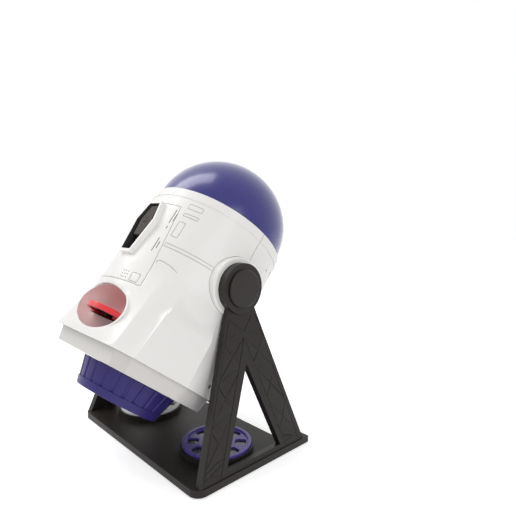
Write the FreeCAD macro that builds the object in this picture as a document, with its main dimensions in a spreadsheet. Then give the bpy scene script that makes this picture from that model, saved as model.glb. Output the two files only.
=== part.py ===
import FreeCAD, Part
import os
from math import cos, hypot, radians, sin
from types import SimpleNamespace

import Sketcher

# Tilting star projector on a two-legged stand, with a picture lens, a slide disc in use and two stored discs.
# Stand frame: X along the pivot, front towards -Y, Z up, origin under the pivot on the table.
# Projector pieces are drawn upright about their own axis with the pivot at the origin, then tilted and lifted.

V = FreeCAD.Vector

SIZES = {
    # Stand
    "swing_room": 23.9,
    "rest_tilt": 36.6,
    "foot_spread": 18.0,
    "base_front": 58.4,
    "base_rear": 64.7,
    "tray_rear": 42.0,
    "base_corner": 9.0,
    "base_top": 6.4,
    "base_lift": 0.8,
    "base_wall": 2.2,
    "rail_width": 14.0,
    "foot_radius": 4.0,
    "foot_height": 1.5,
    "upright_thickness": 5.8,
    "plate_set_back": 4.9685,
    "head_radius": 20.2,
    "head_clearance": 2.5,
    "head_thickness": 7.0,
    "leg_join_half": 15.4,
    "window_foot": 33.7,
    "window_apex": 83.2,
    "leg_foot_front": 56.8,
    "leg_foot_rear": 60.5,
    "rail_height": 4.0,
    "stand_screw_radius": 1.45,
    "stand_screw_length": 9.0,
    "stand_screw_front": 40.0,
    "stand_screw_rear": 42.0,
    "screw_head_radius": 3.0,
    "screw_head_height": 1.8,
    # Pivot
    "axle_radius": 8.0,
    "running_gap": 0.06,
    "seat_gap": 0.3,
    "head_recess_radius": 12.6,
    "head_recess_depth": 3.0,
    "cap_radius": 15.5,
    "cap_rise": 2.6,
    "washer_radius": 11.8,
    "washer_thickness": 0.9,
    "boss_radius": 24.5,
    "boss_flange_radius": 27.5,
    "boss_flange_thickness": 2.5,
    "boss_flange_inset": 9.1,
    "boss_round": 1.8,
    # Case
    "case_radius": 64.5,
    "rim_rise": 0.5,
    "rim_height": 52.6,
    "rim_band": 7.6,
    "flare_top": 20.0,
    "case_bottom": 85.4,
    "case_wall": 2.2,
    "face_narrowing": 16.5,
    "face_set_back": 5.9,
    "bevel_narrowing": 4.0,
    "bevel_set_back": 18.0,
    "side_flare": 5.5,
    "pod_rise": 0.2,
    "pod_top": 37.5,
    "ledge_foot": 49.0,
    "pod_corner_rise": 0.1,
    "pod_corner_back": 4.9,
    "pod_bury": 0.3,
    "pod_depth": 7.0,
    "case_screw_high": 36.0,
    "case_screw_rise": 11.4,
    "case_screw_inset_high": 14.5,
    "tower_corner_inset": 5.7876,
    "screw_tower_radius": 4.2,
    "tower_bite": 3.2811,
    "tower_end_inset_low": 21.5,
    "screw_seat": 28.0,
    "screw_grip": 12.0,
    # Finger scoop and slide discs
    "scoop_half_width": 36.0,
    "scoop_half_height": 18.4,
    "scoop_depth": 19.0,
    "scoop_lift": 1.8,
    "scoop_wall": 1.8,
    "disc_radius": 29.0,
    "disc_thickness": 4.2,
    "disc_rim": 2.8,
    "disc_web": 1.6,
    "disc_boss_radius": 6.5,
    "window_margin": 1.7,
    "disc_window": 9.4,
    "disc_window_round": 2.8,
    "disc_plane": 62.7,
    "disc_set_back": 22.0,
    "hub_radius": 2.0,
    "hub_reach": 1.0,
    "film_thickness": 0.3,
    "slot_clearance": 0.4,
    "guide_plate": 3.0,
    "guide_wall": 2.6,
    "guide_set_back": 23.1,
    "optic_offset": 0.4,
    "gate_radius": 8.0,
    "holder_wall": 1.4,
    "holder_floor": 8.6,
    "holder_rise": 2.2,
    "stored_inset": 39.7,
    "stored_front": 7.8,
    "stored_recess_gap": 0.3,
    # Star dome
    "dome_inset": 2.0,
    "dome_centre_rise": 5.0,
    "dome_wall": 1.8,
    "dome_foot_drop": 1.6,
    "mask_gap": 16.5,
    "mask_wall": 1.2,
    "deck_thickness": 2.4,
    "star_lamp_radius": 2.5,
    "star_lamp_height": 9.0,
    "board_radius": 15.0,
    "board_thickness": 1.6,
    # Power switch
    "switch_bottom": 13.0,
    "switch_top": 33.0,
    "switch_waist": 17.0,
    "switch_half_bottom": 6.5,
    "switch_half_waist": 12.5,
    "switch_half_top": 7.5,
    "bezel_width": 2.4,
    "bezel_rise": 3.3,
    "bezel_sink": 3.5,
    "slider_plate_sink": 4.6,
    "slider_plate_thickness": 1.6,
    "slider_plate_half": 13.6,
    "slider_plate_bottom": 15.5,
    "slider_plate_drop": 8.6,
    "grip_rise": 1.9,
    "grip_bottom": 2.0,
    "grip_top": 31.0,
    "grip_half_end": 4.6,
    "grip_half_waist": 8.2,
    "grip_dot_radius": 1.1,
    "grip_dot_height": 0.5,
    "grip_dot_spread": 3.4,
    "switch_block_width": 20.0,
    "switch_block_depth": 8.0,
    "switch_block_height": 12.0,
    "switch_block_place": 14.0,
    # Batteries
    "cell_radius": 7.25,
    "cell_length": 50.5,
    "tray_room": 14.1,
    "cell_set_back": 25.5,
    "cell_gap": 0.5,
    "tray_wall": 1.5,
    "tray_ear": 8.0,
    "tray_post_near": 29.0,
    "tray_post_far": 31.5,
    "tray_post_inset": 8.9,
    "tray_post_rise": 4.0,
    "tray_post_length": 44.0,
    "contact_thickness": 0.5,
    "door_half_width": 27.0,
    "door_end_gap": 3.0,
    "door_gap": 0.3,
    # Picture lamp and lens
    "lamp_tube_radius": 17.0,
    "lamp_tube_wall": 2.0,
    "lamp_tube_length": 24.0,
    "lens_thickness": 5.0,
    "lens_edge": 2.0,
    "picture_lamp_radius": 3.5,
    "picture_lamp_height": 7.0,
    "barrel_radius": 28.0,
    "barrel_wall": 4.0,
    "barrel_flange": 6.0,
    "barrel_flange_thickness": 2.4,
    "barrel_set_back": 5.7,
    "skirt_inset_top": 3.6,
    "skirt_inset_bottom": 7.0,
    "skirt_overlap": 3.4,
    "skirt_drop": 11.6,
    "skirt_web_drop": 2.6,
    "skirt_web": 2.4,
    "skirt_wall": 2.2,
    "ring_gap": 0.4,
    "ring_height": 21.3,
    "ring_rim": 13.6,
    "ring_foot": 6.6,
    "ring_band_height": 6.0,
    "ring_band_rise": 0.7,
    "ring_lip": 1.8,
    "ring_mouth_lip": 1.5,
    "flute_radius": 2.0,
    "flute_depth": 0.9,
    "carrier_wall": 2.2,
    "carrier_room": 27.0,
    "carrier_length": 20.0,
    "objective_thickness": 6.0,
}

# Counts and angles chosen by hand
WINDOW_COUNT = 8
FLUTE_COUNT = 24
CELL_COUNT = 3
FRONT_CORNER_ANGLE = 42
BEVEL_CORNER_ANGLE = 61
DIAGONAL = 45

# Sizes that follow from others, kept as formulas in the sheet
FORMULAS = {
    "rim_radius": "case_radius + rim_rise",
    "side_half_width": "case_radius + side_flare",
    "face_half_width": "case_radius - face_narrowing",
    "face_front": "case_radius - face_set_back",
    "bevel_side": "case_radius - bevel_narrowing",
    "bevel_depth": "case_radius - bevel_set_back",
    "pod_out": "side_half_width + pod_rise",
    "pod_corner_side": "bevel_side + pod_corner_rise",
    "pod_corner_depth": "bevel_depth - pod_corner_back",
    "case_screw_side_high": "case_radius - case_screw_inset_high",
    "front_tower_low": "case_radius - tower_end_inset_low",
    "case_screw_low": "case_bottom - case_screw_rise",
    "flare_share": "(case_screw_low - flare_top) / (case_bottom - flare_top)",
    "corner_start": f"case_radius * sin({BEVEL_CORNER_ANGLE} deg)",
    "case_screw_side_low": "corner_start + (bevel_side - corner_start) * flare_share - tower_corner_inset",
    "tower_edge": "case_screw_side_high + screw_tower_radius",
    "screw_tower_length": "sqrt((case_radius - case_wall) ^ 2 - tower_edge ^ 2) + tower_bite",
    "slider_plate_top": "rim_height - slider_plate_drop",
    "cell_foot": "cell_length - rim_height + tray_room",
    "tray_post_foot": "cell_foot - tray_post_rise",
    "disc_pitch": "disc_radius - disc_rim - disc_window / 2 - window_margin",
    "disc_drawn": "face_front - optic_offset - disc_pitch - disc_set_back",
    "guide_front": "face_front - guide_set_back",
    "scoop_centre": "disc_plane - scoop_lift",
    "dome_radius": "case_radius - dome_inset",
    "dome_centre": "rim_height + dome_centre_rise",
    "dome_foot": "rim_height - dome_foot_drop",
    "mask_radius": "dome_radius - mask_gap",
    "bezel_face": "case_radius + bezel_rise",
    "bezel_root": "case_radius - bezel_sink",
    "slider_plate_face": "case_radius - slider_plate_sink",
    "grip_face": "case_radius + grip_rise",
    "cell_depth": "case_radius - cell_set_back",
    "tray_post_end": "case_radius - tray_post_inset",
    "head_inner": "case_radius + head_clearance",
    "head_outer": "head_inner + head_thickness",
    "boss_flange_out": "case_radius - boss_flange_inset",
    "skirt_top": "case_bottom - skirt_overlap",
    "skirt_bottom": "case_bottom + skirt_drop",
    "skirt_web_top": "case_bottom + skirt_web_drop",
    "ring_top": "skirt_bottom + ring_gap",
    "ring_bottom": "ring_top + ring_height",
    "barrel_end": "ring_bottom - barrel_set_back",
    "carrier_top": "barrel_end - carrier_room",
    "barrel_bore": "barrel_radius - barrel_wall",
    "barrel_flange_radius": "barrel_radius + barrel_flange",
    "ring_radius_top": "barrel_radius + ring_rim",
    "ring_radius_bottom": "barrel_radius + ring_foot",
    "ring_mouth": "barrel_bore - ring_mouth_lip",
    "pivot_height": "ring_bottom + swing_room",
    "base_half_width": "head_outer + foot_spread",
    "stored_side": "base_half_width - stored_inset",
    "leg_join_height": "pivot_height - head_radius",
    "deck_top": "dome_foot - seat_gap",
    "upright_lean": "atan((foot_spread + plate_set_back) / pivot_height) / 1 deg",
}

doc = FreeCAD.newDocument("star_projector")
sheet = doc.addObject("Spreadsheet::Sheet", "sizes")
for row, (size_name, size_value) in enumerate(SIZES.items(), start=1):
    sheet.set(f"A{row}", size_name)
    sheet.set(f"B{row}", str(size_value))
    sheet.setAlias(f"B{row}", size_name)
for row, (size_name, formula) in enumerate(FORMULAS.items(), start=len(SIZES) + 1):
    sheet.set(f"A{row}", size_name)
    sheet.set(f"B{row}", "=" + formula)
    sheet.setAlias(f"B{row}", size_name)
doc.recompute()


class Size:
    """A length and the sheet expression that gives it, so that sums stay tied to the sheet."""

    def __init__(self, value, text):
        self.value = value
        self.text = text

    def __float__(self):
        return float(self.value)

    def __add__(self, other):
        other = sized(other)
        return Size(self.value + other.value, f"({self.text} + {other.text})")

    def __sub__(self, other):
        other = sized(other)
        return Size(self.value - other.value, f"({self.text} - {other.text})")

    def __mul__(self, share):
        return Size(self.value * share, f"({self.text} * {float(share):.9f})")

    def __truediv__(self, share):
        return Size(self.value / share, f"({self.text} / {float(share):.9f})")

    def __neg__(self):
        return Size(-self.value, f"(-1 * {self.text})")


def sized(number):
    """A Size as it is, and nothing as a Size of no length."""
    if isinstance(number, Size):
        return number
    return Size(number, str(number))


ZERO = Size(0.0, "0")
z = SimpleNamespace(**{name: Size(float(sheet.get(name)), f"sizes.{name}") for name in (*SIZES, *FORMULAS)})
parts = {}


def at(*sizes):
    return V(*[float(size) for size in sizes])


def tie(thing, prop, size):
    thing.setExpression(prop, sized(size).text)


def keep(name, thing, tilted=False):
    """Name a finished sub-part, and tilt a projector piece about the pivot."""
    thing.Label = name
    if tilted:
        thing.Placement = FreeCAD.Placement(V(0, 0, float(z.pivot_height)),
                                            FreeCAD.Rotation(V(-1, 0, 0), float(z.rest_tilt)))
        tie(thing, "Placement.Base.z", z.pivot_height)
        tie(thing, "Placement.Rotation.Angle", z.rest_tilt)
    parts[name] = thing
    return thing


def new_body(name):
    return doc.addObject("PartDesign::Body", name + "_body")


def new_sketch(body, role, out=ZERO, up=ZERO, lean=None):
    """A sketch on one of the body's own planes, moved out along its normal and up along its second axis."""
    sketch = body.newObject("Sketcher::SketchObject", "outline")
    plane = [item for item in body.Origin.OriginFeatures if item.Role == role][0]
    sketch.AttachmentSupport = [(plane, "")]
    sketch.MapMode = "FlatFace"
    angle = 0 if lean is None else float(lean)
    sketch.AttachmentOffset = FreeCAD.Placement(at(ZERO, up, out), FreeCAD.Rotation(V(1, 0, 0), angle))
    tie(sketch, "AttachmentOffset.Base.z", out)
    tie(sketch, "AttachmentOffset.Base.y", up)
    if lean is not None:
        tie(sketch, "AttachmentOffset.Rotation.Angle", lean)
    return sketch


def fix_point(sketch, edge, end, x, y):
    """Hold a point of the sketch at x and y, measured from the sketch's origin."""
    for kind, axis, size in (("DistanceX", -2, sized(x)), ("DistanceY", -1, sized(y))):
        if size.value == 0:
            sketch.addConstraint(Sketcher.Constraint("PointOnObject", edge, end, axis))
        else:
            index = sketch.addConstraint(Sketcher.Constraint(kind, -1, 1, edge, end, size.value))
            tie(sketch, f"Constraints[{index}]", size)


def draw_circle(sketch, x, y, radius):
    circle = Part.Circle(at(x, y, ZERO), V(0, 0, 1), float(radius))
    edge = sketch.addGeometry(circle, False)
    fix_point(sketch, edge, 3, x, y)
    index = sketch.addConstraint(Sketcher.Constraint("Radius", edge, float(radius)))
    tie(sketch, f"Constraints[{index}]", radius)
    return sketch


def draw_outline(sketch, corners):
    """Closed outline. A corner is (x, y), or (x, y, mid x, mid y, radius) where an arc leads to it."""
    edges = []
    for index, corner in enumerate(corners):
        start = at(*corners[index - 1][:2], ZERO)
        end = at(*corner[:2], ZERO)
        if len(corner) == 2:
            edges.append(sketch.addGeometry(Part.LineSegment(start, end), False))
        else:
            arc = Part.Arc(start, at(corner[2], corner[3], ZERO), end)
            edges.append(sketch.addGeometry(arc, False))
    ends = []
    for edge, corner in zip(edges, corners):
        target = at(*corner[:2], ZERO)
        first_near = sketch.getPoint(edge, 1).distanceToPoint(target)
        last_near = sketch.getPoint(edge, 2).distanceToPoint(target)
        ends.append(1 if first_near < last_near else 2)
    for index, corner in enumerate(corners):
        follower = (index + 1) % len(corners)
        sketch.addConstraint(Sketcher.Constraint("Coincident", edges[index], ends[index],
                                                 edges[follower], 3 - ends[follower]))
        fix_point(sketch, edges[index], ends[index], corner[0], corner[1])
        if len(corner) > 2:
            radius = Sketcher.Constraint("Radius", edges[index], float(corner[4]))
            tie(sketch, f"Constraints[{sketch.addConstraint(radius)}]", corner[4])
    return sketch


def draw_box(sketch, left, bottom, right, top):
    return draw_outline(sketch, [(left, bottom), (right, bottom), (right, top), (left, top)])


def pad(body, sketch, length, both=False, back=False):
    feature = body.newObject("PartDesign::Pad", "pad")
    feature.Profile = sketch
    feature.Midplane = both
    feature.Reversed = back
    tie(feature, "Length", length)
    return feature


def pocket(body, sketch, length, both=False, back=False):
    """Cut from the sketch against its normal, or along it with back."""
    feature = body.newObject("PartDesign::Pocket", "pocket")
    feature.Profile = sketch
    feature.Midplane = both
    feature.Reversed = back
    tie(feature, "Length", length)
    return feature


def revolve(body, sketch, axis="V_Axis", cut=False):
    feature = body.newObject("PartDesign::Groove" if cut else "PartDesign::Revolution", "turned")
    feature.Profile = sketch
    feature.ReferenceAxis = (sketch, [axis])
    feature.Angle = 360
    return feature


def loft(body, sketches, cut=False):
    feature = body.newObject("PartDesign::SubtractiveLoft" if cut else "PartDesign::AdditiveLoft", "loft")
    feature.Profile = sketches[0]
    feature.Sections = sketches[1:]
    feature.Ruled = True
    return feature


def polar_pattern(body, feature, sketch, count):
    pattern = body.newObject("PartDesign::PolarPattern", "pattern")
    pattern.Originals = [feature]
    pattern.Axis = (sketch, ["N_Axis"])
    pattern.Angle = 360
    pattern.Occurrences = count
    body.Tip = pattern
    return pattern


def turned_piece(name, profile, axis_front=ZERO, tilted=True):
    """A piece turned about the upright axis from a profile of (radius, height) corners."""
    body = new_body(name)
    sketch = draw_outline(new_sketch(body, "XZ_Plane", out=axis_front), profile)
    revolve(body, sketch)
    return keep(name, body, tilted)


def mirrored_piece(name, source, tilted=False):
    """The other hand of a piece, across the middle plane."""
    mirror = doc.addObject("Part::Mirroring", name + "_mirror")
    mirror.Source = source
    mirror.Normal = V(1, 0, 0)
    mirror.Base = V(0, 0, 0)
    mirror.Label = name
    parts[name] = mirror
    return mirror


def ring_profile(inner, outer, low, high):
    return [(inner, low), (outer, low), (outer, high), (inner, high)]


def on_circle(radius, angle):
    """Point at an angle from the front towards +X."""
    return radius * sin(radians(angle)), radius * -cos(radians(angle))


# Stand

def build_base_tray():
    body = new_body("base_tray")
    plan = plan_of_base(ZERO)
    pad(body, draw_outline(new_sketch(body, "XY_Plane", out=z.base_lift), plan), z.base_top - z.base_lift)
    hollow = draw_outline(new_sketch(body, "XY_Plane", out=z.base_lift), plan_of_base(z.base_wall))
    pocket(body, hollow, z.base_top - z.base_lift - z.base_wall, back=True)
    add_ribs(body)
    posts = new_sketch(body, "XY_Plane", out=z.foot_height)
    for x, y in foot_places():
        draw_circle(posts, x, y, z.foot_radius)
    pad(body, posts, z.base_top - z.foot_height - z.base_wall / 2)
    towers = new_sketch(body, "XY_Plane", out=z.foot_height + z.screw_head_height)
    for x, y in stand_screw_places():
        draw_circle(towers, x, y, z.screw_head_radius)
    pad(body, towers, z.base_top - z.foot_height - z.screw_head_height - z.base_wall / 2)
    holes = new_sketch(body, "XY_Plane", out=z.base_top)
    for x, y in stand_screw_places():
        draw_circle(holes, x, y, z.stand_screw_radius + z.running_gap)
    pocket(body, holes, z.base_top)
    floor_top = z.holder_floor + z.holder_rise
    holder_outer = z.disc_radius + z.stored_recess_gap + z.holder_wall
    rings = new_sketch(body, "XY_Plane", out=z.base_top - z.base_wall / 2)
    wells = new_sketch(body, "XY_Plane", out=floor_top)
    pits = new_sketch(body, "XY_Plane", out=z.holder_floor)
    for side in (z.stored_side, -z.stored_side):
        draw_circle(rings, side, -z.stored_front, holder_outer)
        draw_circle(wells, side, -z.stored_front, z.disc_radius + z.stored_recess_gap)
        draw_circle(pits, side, -z.stored_front, z.hub_radius * 2)
    pad(body, rings, floor_top - z.base_top + z.base_wall / 2)
    pocket(body, wells, z.holder_rise)
    pocket(body, pits, z.hub_reach * 2)
    keep("base_tray", body)


def add_ribs(body):
    """Stiffening ribs under the tray, crossing at the middle."""
    half = z.base_wall / 2
    height = z.base_top - z.base_lift - half
    spread = z.stored_side
    side = z.base_half_width - half
    for left, bottom, right, top in (
            (-side, -half, side, half), (-half, -(z.base_front - half), half, z.tray_rear - half),
            (spread - half, -(z.base_front - half), spread + half, z.tray_rear - half),
            (-(spread + half), -(z.base_front - half), -(spread - half), z.tray_rear - half)):
        rib = new_sketch(body, "XY_Plane", out=z.base_lift)
        pad(body, draw_box(rib, left, bottom, right, top), height)


def plan_of_base(inset):
    """Plan of the base: a plate with rounded front corners and a rail running back at each side."""
    side = z.base_half_width - inset
    inner = z.base_half_width - z.rail_width + inset
    front = -(z.base_front - inset)
    rear = z.base_rear - inset
    tray = z.tray_rear - inset
    radius = z.base_corner - inset
    cut = radius * (1 - cos(radians(DIAGONAL)))
    return [
        (side - radius, front),
        (side, front + radius, side - cut, front + cut, radius),
        (side, rear),
        (inner, rear),
        (inner, tray),
        (-inner, tray),
        (-inner, rear),
        (-side, rear),
        (-side, front + radius),
        (-(side - radius), front, -(side - cut), front + cut, radius),
    ]


def foot_places():
    side = z.base_half_width - z.rail_width / 2
    edge = z.base_wall + z.foot_radius + z.seat_gap
    return [(x, y) for x in (side, -side) for y in (-(z.base_front - z.base_corner), z.base_rear - edge)]


def stand_screw_places():
    side = z.base_half_width - z.base_wall - z.screw_head_radius - z.seat_gap
    return [(x, y) for x in (side, -side) for y in (-z.stand_screw_front, z.stand_screw_rear)]


def slope(height):
    """Distance along the leaning plate of a height above the table."""
    return height / cos(radians(float(z.upright_lean)))


def build_upright():
    body = new_body("upright")
    lean = -z.upright_lean
    foot = z.base_top / 2
    throat = z.pivot_height - z.head_radius / 2
    run = float(z.leg_join_height)
    front_rate = float(z.leg_foot_front - z.leg_join_half) / run
    rear_rate = float(z.leg_foot_rear - z.leg_join_half) / run
    front_foot = -(z.leg_foot_front - foot * front_rate)
    rear_foot = z.leg_foot_rear - foot * rear_rate
    plate = new_sketch(body, "YZ_Plane", out=z.base_half_width, lean=lean)
    draw_outline(plate, [
        (front_foot, slope(foot)),
        (rear_foot, slope(foot)),
        (z.leg_join_half, slope(z.leg_join_height)),
        (z.leg_join_half * 0.8, slope(throat)),
        (-(z.leg_join_half * 0.8), slope(throat)),
        (-z.leg_join_half, slope(z.leg_join_height)),
    ])
    pad(body, plate, z.upright_thickness, back=True)
    head = new_sketch(body, "YZ_Plane", out=z.head_inner, up=z.pivot_height)
    pad(body, draw_circle(head, ZERO, ZERO, z.head_radius), z.head_outer - z.head_inner)
    window = new_sketch(body, "YZ_Plane", out=z.base_half_width, lean=lean)
    draw_outline(window, window_corners())
    pocket(body, window, z.upright_thickness * 3, both=True)
    under = new_sketch(body, "XZ_Plane")
    draw_box(under, z.head_inner - z.upright_thickness, ZERO, z.base_half_width * 1.2, z.base_top)
    pocket(body, under, z.base_rear * 3, both=True)
    inside = new_sketch(body, "XZ_Plane")
    draw_box(inside, z.head_inner - z.upright_thickness * 2, z.pivot_height - z.head_radius * 2,
             z.head_inner, z.pivot_height + z.head_radius)
    pocket(body, inside, z.base_rear * 3, both=True)
    bore = new_sketch(body, "YZ_Plane", out=z.head_outer, up=z.pivot_height)
    pocket(body, draw_circle(bore, ZERO, ZERO, z.axle_radius + z.running_gap), z.upright_thickness * 2)
    recess = new_sketch(body, "YZ_Plane", out=z.head_outer, up=z.pivot_height)
    pocket(body, draw_circle(recess, ZERO, ZERO, z.head_recess_radius), z.head_recess_depth)
    holes = new_sketch(body, "XY_Plane", out=z.base_top)
    for x, y in stand_screw_places()[:2]:
        draw_circle(holes, x, y, z.stand_screw_radius + z.running_gap)
    pocket(body, holes, z.stand_screw_length, back=True)
    keep("upright_right", body)
    mirrored_piece("upright_left", body)


def window_corners():
    """Triangular window between the legs, in the leaning plate."""
    low = z.base_top + z.rail_height
    foot_half = z.window_foot * (1 - float(low) / float(z.window_apex))
    return [(-foot_half, slope(low)), (foot_half, slope(low)), (ZERO, slope(z.window_apex))]


def build_pivot_caps():
    body = new_body("pivot_cap")
    spigot = z.head_recess_radius - z.running_gap
    profile = [
        (z.head_outer, ZERO),
        (z.head_outer, z.washer_radius),
        (z.head_outer - z.head_recess_depth * 0.3, z.washer_radius),
        (z.head_outer - z.head_recess_depth * 0.3, spigot),
        (z.head_outer, spigot),
        (z.head_outer, z.cap_radius),
        (z.head_outer + z.cap_rise * 0.6, z.cap_radius),
        (z.head_outer + z.cap_rise, z.cap_radius - z.cap_rise * 0.4),
        (z.head_outer + z.cap_rise, ZERO),
    ]
    sketch = new_sketch(body, "XZ_Plane", up=z.pivot_height)
    revolve(body, draw_outline(sketch, profile), axis="H_Axis")
    keep("pivot_cap_right", body)
    mirrored_piece("pivot_cap_left", body)


def build_stand_screws():
    body = new_body("stand_screws")
    heads = new_sketch(body, "XY_Plane", out=z.foot_height)
    shanks = new_sketch(body, "XY_Plane", out=z.foot_height)
    for x, y in stand_screw_places():
        draw_circle(heads, x, y, z.screw_head_radius)
        draw_circle(shanks, x, y, z.stand_screw_radius)
    pad(body, heads, z.screw_head_height)
    pad(body, shanks, z.base_top - z.foot_height + z.stand_screw_length - z.seat_gap)
    keep("stand_screws", body)


def build_rubber_feet():
    body = new_body("rubber_feet")
    sketch = new_sketch(body, "XY_Plane")
    for x, y in foot_places():
        draw_circle(sketch, x, y, z.foot_radius)
    pad(body, sketch, z.foot_height)
    keep("rubber_feet", body)


# Projector case

def front_chain(inset, bottom):
    """Front half of the case section from the left parting edge to the right one."""
    if not bottom:
        radius = z.case_radius - inset
        angles = (-90, -BEVEL_CORNER_ANGLE, -FRONT_CORNER_ANGLE, FRONT_CORNER_ANGLE, BEVEL_CORNER_ANGLE, 90)
        corners = [on_circle(radius, angle) for angle in angles]
        corners[0] = (-radius, ZERO)
        corners[-1] = (radius, ZERO)
        chain = [corners[0]]
        for begin, end, corner in zip(angles, angles[1:], corners[1:]):
            middle = on_circle(radius, (begin + end) / 2)
            chain.append((*corner, *middle, radius))
        return chain
    right = [
        (z.face_half_width, -z.face_front),
        (z.bevel_side, -z.bevel_depth),
        (z.side_half_width, ZERO),
    ]
    left = [(-x, y) for x, y in reversed(right)]
    return inset_chain(left + right, inset)


def inset_chain(corners, inset):
    """Move a chain of straight edges inwards; its two ends stay on the parting plane."""
    moved = []
    for index, (x, y) in enumerate(corners):
        before = corners[index - 1] if index else None
        after = corners[index + 1] if index + 1 < len(corners) else None
        share_x, share_y = inset_share(before, (x, y), after)
        moved.append((x + inset * share_x, y + inset * share_y if share_y else y))
    return moved


def inward(start, end):
    """Unit direction to the inside of an edge of the front chain, which runs from left to right."""
    run_x = float(end[0] - start[0])
    run_y = float(end[1]) - float(start[1])
    length = hypot(run_x, run_y)
    return -run_y / length, run_x / length


def inset_share(before, here, after):
    """How far a corner moves in X and Y for each millimetre that its edges move inwards."""
    if before is None:
        normal_x, normal_y = inward(here, after)
        return 1 / normal_x, 0
    if after is None:
        normal_x, normal_y = inward(before, here)
        return 1 / normal_x, 0
    first = inward(before, here)
    second = inward(here, after)
    scale = 1 + first[0] * second[0] + first[1] * second[1]
    return (first[0] + second[0]) / scale, (first[1] + second[1]) / scale


def rear_chain(radius):
    """Rear half of the case section, from the right parting edge round to the left one."""
    chain = [(radius, ZERO)]
    for angle in (180, 270):
        x, y = on_circle(radius, angle)
        if angle == 180:
            x = ZERO
        else:
            y = ZERO
        chain.append((x, y, *on_circle(radius, angle - 45), radius))
    return chain


def front_drum(inset):
    """Front half of the round section, inset by a wall or none."""
    return front_chain(inset, False)


def front_foot(inset):
    """Front half of the faceted section at the case's lower edge."""
    return front_chain(inset, True)


def rear_drum(inset):
    """Rear half of the round section."""
    return rear_chain(z.case_radius - inset)


def rear_foot(inset):
    """Rear half of the section at the case's lower edge."""
    return rear_chain(z.side_half_width - inset)


def half_section(body, chain, height):
    """A section closed along the parting plane."""
    return draw_outline(new_sketch(body, "XY_Plane", out=height), chain)


def add_half_case(body, upper, lower):
    """Upper drum, rim band and flared lower case of one half; upper and lower give its chains."""
    top = -z.flare_top
    pad(body, half_section(body, upper(ZERO), top), z.rim_height - top)
    rim = half_section(body, upper(z.case_radius - z.rim_radius), z.rim_height - z.rim_band)
    pad(body, rim, z.rim_band)
    loft(body, [half_section(body, upper(ZERO), top), half_section(body, lower(ZERO), -z.case_bottom)])


def hollow_half_case(body, upper, lower):
    top = -z.flare_top
    wall = z.case_wall
    cavity = half_section(body, upper(wall), z.rim_height + z.case_wall)
    pocket(body, cavity, z.rim_height + z.case_wall - top)
    loft(body, [half_section(body, upper(wall), top), half_section(body, lower(wall), -z.case_bottom)], cut=True)


def boss_hole(body):
    """Round opening for the pivot boss on both sides."""
    sketch = new_sketch(body, "YZ_Plane")
    draw_circle(sketch, ZERO, ZERO, z.boss_radius + z.seat_gap)
    pocket(body, sketch, z.side_half_width * 3, both=True)


def case_screw_places():
    high = [(side, z.case_screw_high) for side in (z.case_screw_side_high, -z.case_screw_side_high)]
    low = [(side, -z.case_screw_low) for side in (z.case_screw_side_low, -z.case_screw_side_low)]
    return high + low


def build_front_shell():
    body = new_body("front_shell")
    add_half_case(body, front_drum, front_foot)
    add_pods(body)
    bezel = new_sketch(body, "XZ_Plane", out=z.bezel_root)
    draw_outline(bezel, switch_outline(z.bezel_width))
    pad(body, bezel, z.bezel_face - z.bezel_root)
    hollow_half_case(body, front_drum, front_foot)
    add_scoop(body)
    opening = new_sketch(body, "XZ_Plane", out=z.bezel_face)
    pocket(body, draw_outline(opening, switch_outline(ZERO)), z.bezel_face - z.slider_plate_face)
    boss_hole(body)
    for places, length in ((case_screw_places()[:2], z.screw_tower_length),
                           (case_screw_places()[2:], z.front_tower_low)):
        towers = new_sketch(body, "XZ_Plane")
        pilots = new_sketch(body, "XZ_Plane")
        for x, y in places:
            draw_circle(towers, x, y, z.screw_tower_radius)
            draw_circle(pilots, x, y, z.stand_screw_radius + z.running_gap)
        pad(body, towers, length)
        pocket(body, pilots, z.screw_grip, back=True)
    keep("front_shell", body, tilted=True)


def switch_outline(out):
    """Six-sided outline of the switch window, grown outwards by out."""
    grow = out * 1.05
    return [
        (-(z.switch_half_bottom + grow * 0.7), -(z.switch_bottom + grow)),
        (z.switch_half_bottom + grow * 0.7, -(z.switch_bottom + grow)),
        (z.switch_half_waist + grow, z.switch_waist),
        (z.switch_half_top + grow * 0.7, z.switch_top + grow),
        (-(z.switch_half_top + grow * 0.7), z.switch_top + grow),
        (-(z.switch_half_waist + grow), z.switch_waist),
    ]


def add_pods(body):
    """Raised pod on each side of the case, whose top slopes out of the wall as a bright ledge."""
    drop = float(z.pod_top - z.flare_top) / float(z.case_bottom - z.flare_top)
    corner_x, corner_y = on_circle(z.case_radius, BEVEL_CORNER_ANGLE)
    wall_side = z.case_radius + (z.side_half_width - z.case_radius) * drop
    wall_x = corner_x + (z.bevel_side - corner_x) * drop
    wall_y = corner_y - (corner_y + z.bevel_depth) * drop
    levels = [
        (-z.pod_top, wall_side - z.pod_bury, wall_x - z.pod_bury, wall_y),
        (-z.ledge_foot, z.pod_out, z.pod_corner_side, -z.pod_corner_depth),
        (-z.case_bottom, z.pod_out, z.bevel_side, -z.bevel_depth),
    ]
    for side in (1, -1):
        sections = []
        for height, out, corner_out, front in levels:
            inner = corner_out - z.pod_depth
            corners = [(inner, ZERO), (out, ZERO), (corner_out, front), (inner, front + z.pod_bury)]
            sketch = new_sketch(body, "XY_Plane", out=height)
            sections.append(draw_outline(sketch, [(x * side, y) for x, y in corners]))
        loft(body, sections[:2])
        loft(body, sections[1:])


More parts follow.
